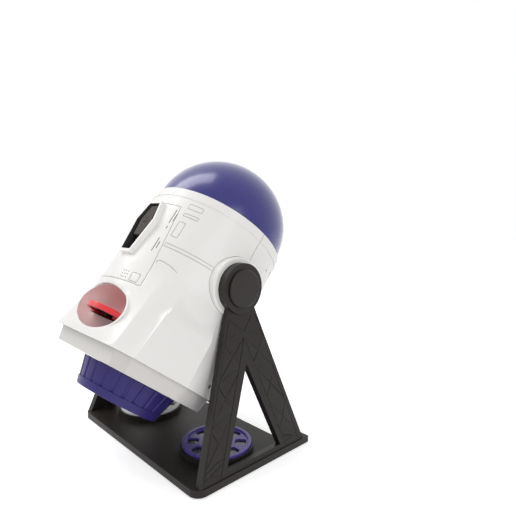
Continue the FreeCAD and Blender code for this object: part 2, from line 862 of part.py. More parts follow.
def add_scoop(body):
    """Bowl for a finger round the edge of the slide disc, with the disc's slot in its back."""
    for wall, kind in ((z.scoop_wall, "PartDesign::AdditiveEllipsoid"), (ZERO, "PartDesign::SubtractiveEllipsoid")):
        bowl = body.newObject(kind, "bowl")
        tie(bowl, "Radius1", z.scoop_depth + wall)
        tie(bowl, "Radius2", z.scoop_half_width + wall)
        tie(bowl, "Radius3", z.scoop_half_height + wall)
        bowl.Angle1 = 0 if wall.value else -90
        bowl.Angle2 = 90
        plane = [item for item in body.Origin.OriginFeatures if item.Role == "XZ_Plane"][0]
        bowl.AttachmentSupport = [(plane, "")]
        bowl.MapMode = "FlatFace"
        bowl.AttachmentOffset = FreeCAD.Placement(at(ZERO, -z.scoop_centre, z.face_front),
                                                  FreeCAD.Rotation(V(1, 0, 0), 180))
        tie(bowl, "AttachmentOffset.Base.y", -z.scoop_centre)
        tie(bowl, "AttachmentOffset.Base.z", z.face_front)
    half = z.disc_thickness / 2 + z.hub_reach + z.slot_clearance
    slot = new_sketch(body, "XZ_Plane", out=z.face_front)
    draw_box(slot, -(z.disc_radius + z.slot_clearance), -(z.disc_plane + half),
             z.disc_radius + z.slot_clearance, -(z.disc_plane - half))
    pocket(body, slot, z.face_front)


def build_rear_shell():
    body = new_body("rear_shell")
    add_half_case(body, rear_drum, rear_foot)
    hollow_half_case(body, rear_drum, rear_foot)
    boss_hole(body)
    towers = new_sketch(body, "XZ_Plane")
    shanks = new_sketch(body, "XZ_Plane")
    wells = new_sketch(body, "XZ_Plane", out=-z.screw_seat)
    for x, y in case_screw_places():
        draw_circle(towers, x, y, z.screw_tower_radius)
        draw_circle(shanks, x, y, z.stand_screw_radius + z.running_gap)
        draw_circle(wells, x, y, z.screw_head_radius + z.running_gap)
    pad(body, towers, z.screw_tower_length, back=True)
    pocket(body, shanks, z.side_half_width)
    pocket(body, wells, z.side_half_width)
    posts = new_sketch(body, "XY_Plane", out=-z.tray_post_foot)
    seat = z.cell_depth + z.cell_radius + z.seat_gap
    draw_box(posts, z.tray_post_near, seat, z.tray_post_far, z.tray_post_end)
    draw_box(posts, -z.tray_post_far, seat, -z.tray_post_near, z.tray_post_end)
    pad(body, posts, z.tray_post_length)
    opening = new_sketch(body, "XZ_Plane", out=-z.cell_depth)
    draw_box(opening, -z.door_half_width, -(z.cell_foot + z.door_end_gap), z.door_half_width,
             door_top())
    pocket(body, opening, z.side_half_width)
    keep("rear_shell", body, tilted=True)


def door_top():
    return z.cell_length - z.cell_foot + z.door_end_gap


def build_battery_door():
    body = new_body("battery_door")
    drum = new_sketch(body, "XY_Plane", out=-(z.cell_foot + z.door_end_gap - z.door_gap))
    draw_outline(drum, rear_chain(z.case_radius))
    pad(body, drum, z.cell_length + z.door_end_gap * 2 - z.door_gap * 2)
    hollow = new_sketch(body, "XY_Plane", out=door_top())
    draw_outline(hollow, rear_chain(z.case_radius - z.case_wall))
    pocket(body, hollow, z.cell_length + z.door_end_gap * 4)
    sides = new_sketch(body, "XZ_Plane")
    edge = z.door_half_width - z.door_gap
    for side in (1, -1):
        left, right = sorted((edge * side, z.case_radius * 1.2 * side), key=float)
        draw_box(sides, left, -z.case_radius, right, z.case_radius)
    pocket(body, sides, z.case_radius * 2, both=True)
    hole = new_sketch(body, "XZ_Plane")
    draw_circle(hole, ZERO, door_screw_height(), z.stand_screw_radius + z.running_gap)
    pocket(body, hole, z.case_radius * 2)
    sink = new_sketch(body, "XZ_Plane", out=-(z.case_radius - z.case_wall * 0.5))
    draw_circle(sink, ZERO, door_screw_height(), z.screw_head_radius + z.running_gap)
    pocket(body, sink, z.case_wall)
    keep("battery_door", body, tilted=True)


def door_screw_height():
    return door_top() - z.screw_head_radius * 1.4


def build_door_screw():
    body = new_body("door_screw")
    head = new_sketch(body, "XZ_Plane", out=-(z.case_radius - z.case_wall * 0.5))
    pad(body, draw_circle(head, ZERO, door_screw_height(), z.screw_head_radius), z.case_wall * 0.45, back=True)
    shank = new_sketch(body, "XZ_Plane", out=-(z.case_radius - z.case_wall * 0.5))
    pad(body, draw_circle(shank, ZERO, door_screw_height(), z.stand_screw_radius), z.case_wall * 2)
    keep("door_screw", body, tilted=True)


def build_case_screws():
    body = new_body("case_screws")
    heads = new_sketch(body, "XZ_Plane", out=-z.screw_seat)
    shanks = new_sketch(body, "XZ_Plane", out=-z.screw_seat)
    for x, y in case_screw_places():
        draw_circle(heads, x, y, z.screw_head_radius)
        draw_circle(shanks, x, y, z.stand_screw_radius)
    pad(body, heads, z.screw_head_height, back=True)
    pad(body, shanks, z.screw_seat + z.screw_grip - z.seat_gap)
    keep("case_screws", body, tilted=True)


def build_pivot_bosses():
    """Round boss held between the two case halves, with the axle that turns in the upright's head."""
    body = new_body("pivot_boss")
    face = z.head_inner - z.seat_gap
    axle_end = z.head_outer - z.head_recess_depth + z.seat_gap
    flange_out = z.boss_flange_out
    profile = [
        (flange_out - z.boss_flange_thickness, z.stand_screw_radius + z.running_gap),
        (flange_out - z.boss_flange_thickness, z.boss_flange_radius),
        (flange_out, z.boss_flange_radius),
        (flange_out, z.boss_radius),
        (face - z.boss_round, z.boss_radius),
        (face, z.boss_radius - z.boss_round, face - z.boss_round * 0.293, z.boss_radius - z.boss_round * 0.293,
         z.boss_round),
        (face, z.axle_radius),
        (axle_end, z.axle_radius),
        (axle_end, z.stand_screw_radius + z.running_gap),
    ]
    sketch = draw_outline(new_sketch(body, "XZ_Plane"), profile)
    revolve(body, sketch, axis="H_Axis")
    keep("pivot_boss_right", body, tilted=True)
    mirrored_piece("pivot_boss_left", body)


def build_pivot_screws():
    """Washer and screw that keep the upright's head on the axle."""
    washer = new_body("pivot_washer")
    start = z.head_outer - z.head_recess_depth + z.seat_gap
    sketch = new_sketch(washer, "XZ_Plane")
    draw_outline(sketch, [
        (start, z.stand_screw_radius + z.running_gap),
        (start, z.washer_radius),
        (start + z.washer_thickness, z.washer_radius),
        (start + z.washer_thickness, z.stand_screw_radius + z.running_gap),
    ])
    revolve(washer, sketch, axis="H_Axis")
    keep("pivot_washer_right", washer, tilted=True)
    mirrored_piece("pivot_washer_left", washer)
    screw = new_body("pivot_screw")
    seat = start + z.washer_thickness
    sketch = new_sketch(screw, "XZ_Plane")
    draw_outline(sketch, [
        (seat - z.screw_grip, ZERO),
        (seat - z.screw_grip, z.stand_screw_radius),
        (seat, z.stand_screw_radius),
        (seat, z.screw_head_radius),
        (seat + z.screw_head_height * 0.7, z.screw_head_radius),
        (seat + z.screw_head_height * 0.7, ZERO),
    ])
    revolve(screw, sketch, axis="H_Axis")
    keep("pivot_screw_right", screw, tilted=True)
    mirrored_piece("pivot_screw_left", screw)


# Star dome

def cap_point(radius, centre, height):
    """Radius of a sphere's section at a height above the pivot."""
    rise = float(height - centre)
    return (float(radius) ** 2 - rise ** 2) ** 0.5


def build_dome(name, radius, wall, centre, foot):
    """Thin dome turned from two arcs, open below."""
    outer_foot = radius * (cap_point(radius, centre, foot) / float(radius))
    inner = radius - wall
    inner_foot = inner * (cap_point(inner, centre, foot) / float(inner))
    half = sin(radians(DIAGONAL))
    profile = [
        (outer_foot, foot),
        (ZERO, centre + radius, radius * half, centre + radius * half, radius),
        (ZERO, centre + inner),
        (inner_foot, foot, inner * half, centre + inner * half, inner),
    ]
    return turned_piece(name, profile)


def build_star_parts():
    build_dome("star_dome", z.dome_radius, z.dome_wall, z.dome_centre, z.dome_foot)
    build_dome("star_mask", z.mask_radius, z.mask_wall, z.dome_foot, z.dome_foot)
    deck_low = z.deck_top - z.deck_thickness
    edge = z.case_radius - z.case_wall - z.seat_gap
    lamp_hole = z.star_lamp_radius + z.seat_gap
    turned_piece("lamp_deck", ring_profile(lamp_hole, edge, deck_low, z.deck_top))
    board_top = deck_low - z.seat_gap
    turned_piece("star_board", ring_profile(ZERO, z.board_radius, board_top - z.board_thickness, board_top))
    tip = board_top + z.star_lamp_height
    turned_piece("star_lamp", [
        (ZERO, board_top),
        (z.star_lamp_radius, board_top),
        (z.star_lamp_radius, tip - z.star_lamp_radius),
        (ZERO, tip, z.star_lamp_radius * sin(radians(DIAGONAL)),
         tip - z.star_lamp_radius + z.star_lamp_radius * cos(radians(DIAGONAL)), z.star_lamp_radius),
    ])


# Power switch

def build_switch():
    body = new_body("switch_slider")
    plate = new_sketch(body, "XZ_Plane", out=z.slider_plate_face)
    draw_box(plate, -z.slider_plate_half, -z.slider_plate_bottom, z.slider_plate_half, z.slider_plate_top)
    pad(body, plate, z.slider_plate_thickness, back=True)
    grip = new_sketch(body, "XZ_Plane", out=z.slider_plate_face)
    draw_outline(grip, [
        (-z.grip_half_end, z.grip_bottom),
        (z.grip_half_end, z.grip_bottom),
        (z.grip_half_waist, z.switch_waist),
        (z.grip_half_end, z.grip_top),
        (-z.grip_half_end, z.grip_top),
        (-z.grip_half_waist, z.switch_waist),
    ])
    pad(body, grip, z.grip_face - z.slider_plate_face)
    dots = new_sketch(body, "XZ_Plane", out=z.grip_face)
    for x, y in ((ZERO, z.grip_dot_spread * 0.6), (-z.grip_dot_spread * 0.6, -z.grip_dot_spread * 0.5),
                 (z.grip_dot_spread * 0.6, -z.grip_dot_spread * 0.5)):
        draw_circle(dots, x, z.switch_waist + y, z.grip_dot_radius)
    pad(body, dots, z.grip_dot_height)
    keep("switch_slider", body, tilted=True)
    block = new_body("power_switch")
    face = z.slider_plate_face - z.slider_plate_thickness - z.seat_gap
    sketch = new_sketch(block, "XZ_Plane", out=face)
    draw_box(sketch, -z.switch_block_width / 2, z.switch_block_place - z.switch_block_height / 2,
             z.switch_block_width / 2, z.switch_block_place + z.switch_block_height / 2)
    pad(block, sketch, z.switch_block_depth, back=True)
    keep("power_switch", block, tilted=True)


# Batteries

def cell_places():
    pitch = z.cell_radius * 2 + z.cell_gap
    return [pitch * (index - (CELL_COUNT - 1) / 2) for index in range(CELL_COUNT)]


def build_batteries():
    body = new_body("batteries")
    sketch = new_sketch(body, "XY_Plane", out=-z.cell_foot)
    for x in cell_places():
        draw_circle(sketch, sized(x) if float(x) else ZERO, z.cell_depth, z.cell_radius)
    pad(body, sketch, z.cell_length)
    keep("batteries", body, tilted=True)
    tray = new_body("battery_tray")
    half = z.cell_radius * CELL_COUNT + z.cell_gap * 2 + z.tray_wall
    low = -(z.cell_foot + z.contact_thickness + z.tray_wall)
    height = z.cell_length + z.contact_thickness * 2 + z.tray_wall * 2
    front = z.cell_depth - z.cell_radius - z.cell_gap - z.tray_wall
    rear = z.cell_depth + z.cell_radius
    outer = new_sketch(tray, "XY_Plane", out=low)
    draw_box(outer, -half, front, half, rear)
    pad(tray, outer, height)
    ears = new_sketch(tray, "XY_Plane", out=low)
    draw_box(ears, -(half + z.tray_ear), rear - z.tray_wall, half + z.tray_ear, rear)
    pad(tray, ears, height)
    inner = new_sketch(tray, "XY_Plane", out=low + z.tray_wall)
    draw_box(inner, -(half - z.tray_wall), front + z.tray_wall, half - z.tray_wall, rear + z.tray_wall)
    pocket(tray, inner, height - z.tray_wall * 2, back=True)
    keep("battery_tray", tray, tilted=True)
    contacts = new_body("battery_contacts")
    for height_at in (-(z.cell_foot + z.contact_thickness), z.cell_length - z.cell_foot):
        sketch = new_sketch(contacts, "XY_Plane", out=height_at)
        for x in cell_places():
            spot = sized(x)
            reach = z.cell_radius * 0.7
            draw_box(sketch, spot - reach, z.cell_depth - reach, spot + reach, z.cell_depth + reach)
        pad(contacts, sketch, z.contact_thickness)
    keep("battery_contacts", contacts, tilted=True)


# Picture disc, lamp and lens

def build_disc(name, x, y, height, tilted):
    """Slide disc with a rim, a thin web with eight windows, a film ring under the web and a hub pin."""
    half = z.disc_thickness / 2
    web = z.disc_web / 2
    rim = z.disc_radius - z.disc_rim
    bore = z.hub_radius + z.running_gap
    body = new_body(name)
    profile = [
        (bore, -half), (z.disc_boss_radius, -half), (z.disc_boss_radius, -web), (rim, -web), (rim, -half),
        (z.disc_radius, -half), (z.disc_radius, half), (rim, half), (rim, web), (z.disc_boss_radius, web),
        (z.disc_boss_radius, half), (bore, half),
    ]
    revolve(body, draw_outline(new_sketch(body, "XZ_Plane"), profile))
    opening = new_sketch(body, "XY_Plane", out=z.disc_thickness)
    draw_outline(opening, window_outline())
    cut = pocket(body, opening, z.disc_thickness * 2)
    polar_pattern(body, cut, opening, WINDOW_COUNT)
    film = new_body(name + "_films")
    draw = new_sketch(film, "XZ_Plane")
    film_profile = ring_profile(z.disc_boss_radius + z.seat_gap, rim - z.seat_gap, -(web + z.film_thickness), -web)
    revolve(film, draw_outline(draw, film_profile))
    hub = new_body(name + "_hub")
    reach = half + z.hub_reach
    revolve(hub, draw_outline(new_sketch(hub, "XZ_Plane"), [
        (ZERO, -reach), (z.hub_radius, -reach), (z.hub_radius, reach), (ZERO, reach)]))
    for piece, label in ((body, name), (film, name + "_films"), (hub, name + "_hub")):
        place_disc(piece, label, x, y, height, tilted)


def window_outline():
    """Rounded square window on the +Y side of the disc."""
    half = z.disc_window / 2
    radius = z.disc_window_round
    cut = radius * (1 - cos(radians(DIAGONAL)))
    low = z.disc_pitch - half
    high = z.disc_pitch + half
    return [
        (-(half - radius), low), (half - radius, low), (half, low + radius, half - cut, low + cut, radius),
        (half, high - radius), (half - radius, high, half - cut, high - cut, radius),
        (-(half - radius), high), (-half, high - radius, -(half - cut), high - cut, radius),
        (-half, low + radius), (-(half - radius), low, -(half - cut), low + cut, radius),
    ][1:]


def place_disc(piece, label, x, y, height, tilted):
    """Put a disc piece in its slot in the tilted case, or flat in its holder on the base."""
    piece.Label = label
    parts[label] = piece
    local = FreeCAD.Placement(at(x, y, height), FreeCAD.Rotation())
    if not tilted:
        piece.Placement = local
        tie(piece, "Placement.Base.x", x)
        tie(piece, "Placement.Base.y", y)
        tie(piece, "Placement.Base.z", height)
        return
    turn = FreeCAD.Rotation(V(-1, 0, 0), float(z.rest_tilt))
    piece.Placement = FreeCAD.Placement(at(ZERO, ZERO, z.pivot_height), turn).multiply(local)


def build_disc_guide():
    """Guide with a flat pocket that the disc is pushed into from the front, and a groove for its hub."""
    body = new_body("disc_guide")
    half = z.disc_thickness / 2 + z.slot_clearance
    centre = -(z.optic_offset + z.disc_pitch)
    outer = z.disc_radius + z.slot_clearance + z.guide_wall
    plan = new_sketch(body, "XY_Plane", out=-(z.disc_plane + half + z.guide_plate))
    draw_outline(plan, guide_outline(outer, centre, -z.guide_front))
    pad(body, plan, (half + z.guide_plate) * 2)
    pit = new_sketch(body, "XY_Plane", out=-(z.disc_plane - half))
    draw_outline(pit, guide_outline(z.disc_radius + z.slot_clearance, centre, -z.face_front))
    pocket(body, pit, half * 2)
    deep = half + z.hub_reach
    groove = new_sketch(body, "XY_Plane", out=-(z.disc_plane - deep))
    draw_outline(groove, guide_outline(z.hub_radius + z.seat_gap, centre, -z.face_front))
    pocket(body, groove, deep * 2)
    gate = new_sketch(body, "XY_Plane")
    draw_circle(gate, ZERO, -z.optic_offset, z.gate_radius)
    pocket(body, gate, z.case_bottom)
    keep("disc_guide", body, tilted=True)


def guide_outline(radius, centre, front):
    """Plan with a half-round back about centre and straight sides to the front."""
    diagonal = radius * cos(radians(DIAGONAL))
    return [
        (-radius, front),
        (radius, front),
        (radius, centre),
        (ZERO, centre + radius, diagonal, centre + diagonal, radius),
        (-radius, centre, -diagonal, centre + diagonal, radius),
    ]


def lens_profile(radius, low, thickness, edge):
    """Half section of a lens with both faces bulging, as arcs through its edge and its middle."""
    bulge = (thickness - edge) / 2
    curve = float(radius) ** 2 / (2 * float(bulge)) + float(bulge) / 2
    arc = radius * (curve / float(radius))
    reach = radius * 0.5
    sag = curve - (curve ** 2 - float(reach) ** 2) ** 0.5
    dip = bulge * (sag / float(bulge))
    high = low + thickness
    return [
        (ZERO, low),
        (radius, low + bulge, reach, low + dip, arc),
        (radius, high - bulge),
        (ZERO, high, reach, high - dip, arc),
    ]


def build_picture_lamp():
    top_plate = z.disc_plane - z.disc_thickness / 2 - z.slot_clearance - z.guide_plate
    foot = -top_plate + z.seat_gap
    tube_top = foot + z.lamp_tube_length
    bore = z.lamp_tube_radius - z.lamp_tube_wall
    seat = foot + z.lens_thickness * 1.4
    turned_piece("lamp_tube", [
        (bore, foot), (z.lamp_tube_radius, foot), (z.lamp_tube_radius, tube_top),
        (bore, tube_top)], axis_front=z.optic_offset)
    lens_radius = bore - z.seat_gap
    turned_piece("condenser_lens", lens_profile(lens_radius, seat - z.lens_thickness, z.lens_thickness, z.lens_edge),
                 axis_front=z.optic_offset)
    board_low = tube_top + z.seat_gap
    turned_piece("picture_board", ring_profile(ZERO, z.lamp_tube_radius, board_low, board_low + z.board_thickness),
                 axis_front=z.optic_offset)
    tip = board_low - z.picture_lamp_height
    turned_piece("picture_lamp", [
        (ZERO, board_low), (z.picture_lamp_radius, board_low), (z.picture_lamp_radius, tip + z.picture_lamp_radius),
        (ZERO, tip, z.picture_lamp_radius * sin(radians(DIAGONAL)),
         tip + z.picture_lamp_radius * (1 - cos(radians(DIAGONAL))), z.picture_lamp_radius)],
        axis_front=z.optic_offset)


def skirt_outline(inset):
    """Whole section of the skirt below the case, inset from the case's lower edge."""
    chain = front_chain(inset, True)
    radius = chain[-1][0]
    rear = rear_chain(radius)[1:]
    rear[-1] = (chain[0][0], ZERO, *rear[-1][2:])
    return chain[1:] + rear


def build_nose_skirt():
    body = new_body("nose_skirt")
    lean_share = float(z.skirt_top - z.case_bottom) / float(z.skirt_bottom - z.case_bottom)
    top_inset = z.skirt_inset_top + (z.skirt_inset_bottom - z.skirt_inset_top) * lean_share * 0.12
    sections = []
    for inset, height in ((top_inset, -z.skirt_top), (z.skirt_inset_bottom, -z.skirt_bottom)):
        sketch = new_sketch(body, "XY_Plane", out=height)
        sections.append(draw_outline(sketch, skirt_outline(inset)))
    loft(body, sections)
    inner = z.skirt_inset_bottom + z.skirt_wall
    below = draw_outline(new_sketch(body, "XY_Plane", out=-z.skirt_bottom), skirt_outline(inner))
    pocket(body, below, z.skirt_bottom - z.skirt_web_top - z.skirt_web, back=True)
    above = draw_outline(new_sketch(body, "XY_Plane", out=-z.skirt_top), skirt_outline(inner))
    pocket(body, above, z.skirt_web_top - z.skirt_top)
    hole = new_sketch(body, "XY_Plane")
    draw_circle(hole, ZERO, -z.optic_offset, z.barrel_radius + z.seat_gap)
    pocket(body, hole, z.skirt_bottom)
    keep("nose_skirt", body, tilted=True)


def build_lens_parts():
    guide_foot = z.disc_plane + z.disc_thickness / 2 + z.slot_clearance + z.guide_plate
    top = -(guide_foot + z.seat_gap)
    turned_piece("lens_barrel", [
        (z.barrel_bore, -z.barrel_end), (z.barrel_radius, -z.barrel_end),
        (z.barrel_radius, -z.skirt_web_top + z.seat_gap),
        (z.barrel_flange_radius, -z.skirt_web_top + z.seat_gap),
        (z.barrel_flange_radius, -z.skirt_web_top + z.seat_gap + z.barrel_flange_thickness),
        (z.barrel_radius, -z.skirt_web_top + z.seat_gap + z.barrel_flange_thickness),
        (z.barrel_radius, top), (z.barrel_bore, top)], axis_front=z.optic_offset)
    body = new_body("focus_ring")
    bore = z.barrel_radius + z.running_gap
    band = z.ring_bottom - z.ring_band_height
    rate = float(z.ring_radius_top - z.ring_radius_bottom) / float(z.ring_bottom - z.ring_top)
    band_radius = z.ring_radius_bottom + z.ring_band_height * rate
    profile = [
        (bore, -z.ring_top), (z.ring_radius_top, -z.ring_top), (band_radius, -band),
        (band_radius + z.ring_band_rise, -band), (z.ring_radius_bottom + z.ring_band_rise, -z.ring_bottom),
        (z.ring_mouth, -z.ring_bottom), (z.ring_mouth, -(z.ring_bottom - z.ring_lip)),
        (bore, -(z.ring_bottom - z.ring_lip)),
    ]
    revolve(body, draw_outline(new_sketch(body, "XZ_Plane", out=z.optic_offset), profile))
    flute = new_sketch(body, "XY_Plane", out=-z.ring_top)
    cut = draw_flute(body, flute, band_radius, band)
    polar_flutes(body, cut)
    keep("focus_ring", body, tilted=True)
    carrier_radius = z.barrel_bore - z.running_gap
    carrier_bore = carrier_radius - z.carrier_wall
    foot = -(z.carrier_top + z.carrier_length)
    shelf = carrier_bore - z.lens_edge / 2
    turned_piece("lens_carrier", [
        (shelf, foot), (carrier_radius, foot), (carrier_radius, -z.carrier_top), (carrier_bore, -z.carrier_top),
        (carrier_bore, foot + z.lens_edge), (shelf, foot + z.lens_edge)], axis_front=z.optic_offset)
    objective = carrier_bore - z.running_gap
    bulge = (z.objective_thickness - z.lens_edge) / 2
    low = foot + z.lens_edge - bulge + z.seat_gap
    turned_piece("objective_lens", lens_profile(objective, low, z.objective_thickness, z.lens_edge),
                 axis_front=z.optic_offset)


def draw_flute(body, sketch, band_radius, band):
    """One slanting flute down the side of the ring, from its top to its plain band."""
    centre_top = z.ring_radius_top + z.flute_radius - z.flute_depth
    centre_low = band_radius + z.flute_radius - z.flute_depth
    low = new_sketch(body, "XY_Plane", out=-band)
    draw_circle(sketch, centre_top, -z.optic_offset, z.flute_radius)
    draw_circle(low, centre_low, -z.optic_offset, z.flute_radius)
    return loft(body, [sketch, low], cut=True)


def polar_flutes(body, cut):
    """Repeat the flute round the ring, whose axis stands off the body's own."""
    axis_sketch = new_sketch(body, "XZ_Plane", out=z.optic_offset)
    pattern = body.newObject("PartDesign::PolarPattern", "flutes")
    pattern.Originals = [cut]
    pattern.Axis = (axis_sketch, ["V_Axis"])
    pattern.Angle = 360
    pattern.Occurrences = FLUTE_COUNT
    body.Tip = pattern


def build_all():
    build_base_tray()
    build_upright()
    build_pivot_caps()
    build_stand_screws()
    build_rubber_feet()
    build_front_shell()
    build_rear_shell()
    build_battery_door()
    build_door_screw()
    build_case_screws()
    build_pivot_bosses()
    build_pivot_screws()
    build_star_parts()
    build_switch()
    build_batteries()
    build_disc_guide()
    build_picture_lamp()
    build_nose_skirt()
    build_lens_parts()
    stored_height = z.holder_floor + z.disc_thickness / 2
    drawn_out = -(z.optic_offset + z.disc_pitch + z.disc_drawn)
    build_disc("red_disc", ZERO, drawn_out, -z.disc_plane, tilted=True)
    build_disc("blue_disc", z.stored_side, -z.stored_front, stored_height, tilted=False)
    build_disc("white_disc", -z.stored_side, -z.stored_front, stored_height, tilted=False)


def check_all():
    """Every object is sound, and every sub-part is a valid solid."""
    failed = [item.Label for item in doc.Objects if "Invalid" in item.State or "Error" in item.State]
    for name, thing in parts.items():
        if thing.Shape.isNull() or not thing.Shape.isValid() or not thing.Shape.Solids:
            failed.append(name)
    if failed:
        raise RuntimeError("not sound: " + ", ".join(failed))


build_all()
doc.recompute()
check_all()
os.makedirs("parts", exist_ok=True)
for label, part in parts.items():
    part.Shape.exportStep(os.path.join("parts", label + ".step"))
    print(label, len(part.Shape.Solids), round(part.Shape.Volume))
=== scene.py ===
"""Looks of a tilting star projector on a two-legged stand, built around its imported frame."""

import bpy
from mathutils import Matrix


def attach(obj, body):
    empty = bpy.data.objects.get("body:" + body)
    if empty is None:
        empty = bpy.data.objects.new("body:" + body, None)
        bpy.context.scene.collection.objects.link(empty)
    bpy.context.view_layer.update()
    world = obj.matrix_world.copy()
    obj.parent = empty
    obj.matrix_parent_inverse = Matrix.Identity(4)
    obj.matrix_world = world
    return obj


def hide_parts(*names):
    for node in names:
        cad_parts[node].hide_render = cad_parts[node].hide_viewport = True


bl_info = {
    "name": "Star Projector Looks",
    "version": (1, 0, 0),
    "blender": (4, 5, 0),
    "location": "View3D > Sidebar > Star Projector",
    "description": "Finishes, engraved lines and fittings of a tilting star projector",
    "category": "Object",
}

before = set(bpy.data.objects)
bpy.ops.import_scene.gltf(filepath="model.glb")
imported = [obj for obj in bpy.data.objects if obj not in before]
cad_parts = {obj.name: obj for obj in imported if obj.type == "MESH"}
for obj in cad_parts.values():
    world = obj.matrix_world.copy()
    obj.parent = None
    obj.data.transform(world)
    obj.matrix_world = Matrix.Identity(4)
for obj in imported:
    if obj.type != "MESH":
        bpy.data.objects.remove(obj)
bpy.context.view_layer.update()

import math

import bmesh
import bpy
import numpy as np
from bpy.props import FloatProperty, FloatVectorProperty, IntProperty, PointerProperty
from mathutils import Matrix, Vector
from mathutils.bvhtree import BVHTree

MM = 0.001

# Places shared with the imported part, in millimetres and degrees
REST_TILT = 36.6
PIVOT_HEIGHT = 142.6
CASE_RADIUS = 64.5
FACE_FRONT = 58.6
DOME_RADIUS = 62.5
DOME_CENTRE = 57.6
DOME_FOOT = 51.3
DOME_WALL = 1.8
MASK_RADIUS = 46.0
MASK_CENTRE = 51.0
MASK_WALL = 1.2
UPRIGHT_LEAN = 9.15
BASE_HALF_WIDTH = 92.0
RIM_RADIUS = 65.0
DRUM_LOW = -19.9
DRUM_TOP = 52.7


# Frames of reference

def case_point(x, back, up):
    """A point of the projector, drawn upright about its pivot in millimetres, where the tilted case holds it."""
    tilt = math.radians(REST_TILT)
    return Vector((x, back * math.cos(tilt) + up * math.sin(tilt),
                   PIVOT_HEIGHT + up * math.cos(tilt) - back * math.sin(tilt))) * MM


def drum_point(radius, angle, up):
    """A point round the case's axis, at an angle from its front towards +X."""
    turn = math.radians(angle)
    return case_point(radius * math.sin(turn), -radius * math.cos(turn), up)


def plate_point(side, across, height, out=0.0):
    """A point of an upright's leaning outer face, out from it by a distance."""
    lean = math.radians(UPRIGHT_LEAN)
    x = BASE_HALF_WIDTH - height * math.tan(lean) + out * math.cos(lean)
    return Vector((side * x, across, height + out * math.sin(lean))) * MM


# Meshes

def add_piece(name, mesh):
    piece = bpy.data.objects.new(name, mesh)
    bpy.context.scene.collection.objects.link(piece)
    return piece


def mesh_from(name, points, faces):
    mesh = bpy.data.meshes.new(name)
    mesh.from_pydata([tuple(point) for point in points], [], faces)
    mesh.update()
    return mesh


def bake_modifiers(piece):
    """The evaluated mesh takes the place of the object's modifiers."""
    evaluated = piece.evaluated_get(bpy.context.evaluated_depsgraph_get())
    mesh = bpy.data.meshes.new_from_object(evaluated)
    piece.modifiers.clear()
    piece.data = mesh


def shade(piece, angle=34.0, even=True):
    """Smooth shading, with edges sharper than the angle kept crisp and large faces kept flat."""
    piece.data.shade_smooth()
    piece.data.set_sharp_from_angle(angle=math.radians(angle))
    if even:
        weighting = piece.modifiers.new("face_weights", "WEIGHTED_NORMAL")
        weighting.keep_sharp = True
        bake_modifiers(piece)


def node_copy(name, nodes, bevel=0.0, steps=2, edge_angle=32.0):
    """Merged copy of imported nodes, flat faces joined up and its edges rounded."""
    shape = bmesh.new()
    for node in nodes:
        shape.from_mesh(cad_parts[node].data)
    bmesh.ops.remove_doubles(shape, verts=shape.verts, dist=2e-6)
    bmesh.ops.dissolve_limit(shape, angle_limit=math.radians(0.4), verts=shape.verts, edges=shape.edges)
    mesh = bpy.data.meshes.new(name)
    shape.to_mesh(mesh)
    shape.free()
    piece = add_piece(name, mesh)
    if bevel:
        rounding = piece.modifiers.new("rounding", "BEVEL")
        rounding.width = bevel * MM
        rounding.segments = steps
        rounding.limit_method = "ANGLE"
        rounding.angle_limit = math.radians(edge_angle)
        rounding.use_clamp_overlap = True
        bake_modifiers(piece)
    return piece


def channel(points, normals, width, depth, closed):
    """Points and faces of a bar that follows a path over a surface and sinks into it."""
    corners = []
    count = len(points)
    for index in range(count):
        ahead = points[(index + 1) % count] if closed or index + 1 < count else points[index]
        behind = points[index - 1] if closed or index else points[index]
        along = (ahead - behind).normalized()
        normal = normals[index]
        across = along.cross(normal).normalized() * (width / 2)
        extra = Vector((0, 0, 0))
        if not closed and index in (0, count - 1):
            extra = along * (width / 2) * (1 if index else -1)
        for side, out in ((1, -depth), (1, depth * 1.5), (-1, depth * 1.5), (-1, -depth)):
            corners.append(points[index] + extra + across * side + normal * out)
    faces = []
    for index in range(count if closed else count - 1):
        first = index * 4
        second = ((index + 1) % count) * 4
        for corner in range(4):
            following = (corner + 1) % 4
            faces.append((first + corner, first + following, second + following, second + corner))
    if not closed:
        last = (count - 1) * 4
        faces += [(3, 2, 1, 0), (last, last + 1, last + 2, last + 3)]
    return corners, faces


def pit(point, normal, radius, depth, sides=12):
    """Points and faces of a round plug that sinks into a surface."""
    across = normal.orthogonal().normalized() * radius
    up = normal.cross(across)
    turns = [2 * math.pi * step / sides for step in range(sides)]
    rim = [point + across * math.cos(turn) + up * math.sin(turn) for turn in turns]
    corners = [spot - normal * depth for spot in rim] + [spot + normal * depth for spot in rim]
    faces = [tuple(reversed(range(sides))), tuple(range(sides, 2 * sides))]
    for step in range(sides):
        following = (step + 1) % sides
        faces.append((step, following, sides + following, sides + step))
    return corners, faces


def cutter_from(name, channels):
    points = []
    faces = []
    for corners, bars in channels:
        start = len(points)
        points += corners
        faces += [tuple(start + index for index in face) for face in bars]
    mesh = mesh_from(name, points, faces)
    shape = bmesh.new()
    shape.from_mesh(mesh)
    bmesh.ops.recalc_face_normals(shape, faces=shape.faces)
    shape.to_mesh(mesh)
    shape.free()
    return add_piece(name, mesh)


def engrave(piece, channels, finish, groove_finish):
    """Cut channels into a piece; the cut faces take the groove finish, whose darker colour paints shade into the
    channels.
    """
    if finish is not None:
        piece.data.materials.clear()
        piece.data.materials.append(finish)
    cutter = cutter_from(piece.name + "_cutter", channels)
    cutter.data.materials.append(groove_finish)
    cut = piece.modifiers.new("engraving", "BOOLEAN")
    cut.operation = "DIFFERENCE"
    cut.solver = "EXACT"
    cut.use_self = True
    cut.material_mode = "TRANSFER"
    cut.object = cutter
    bake_modifiers(piece)
    bpy.data.objects.remove(cutter)


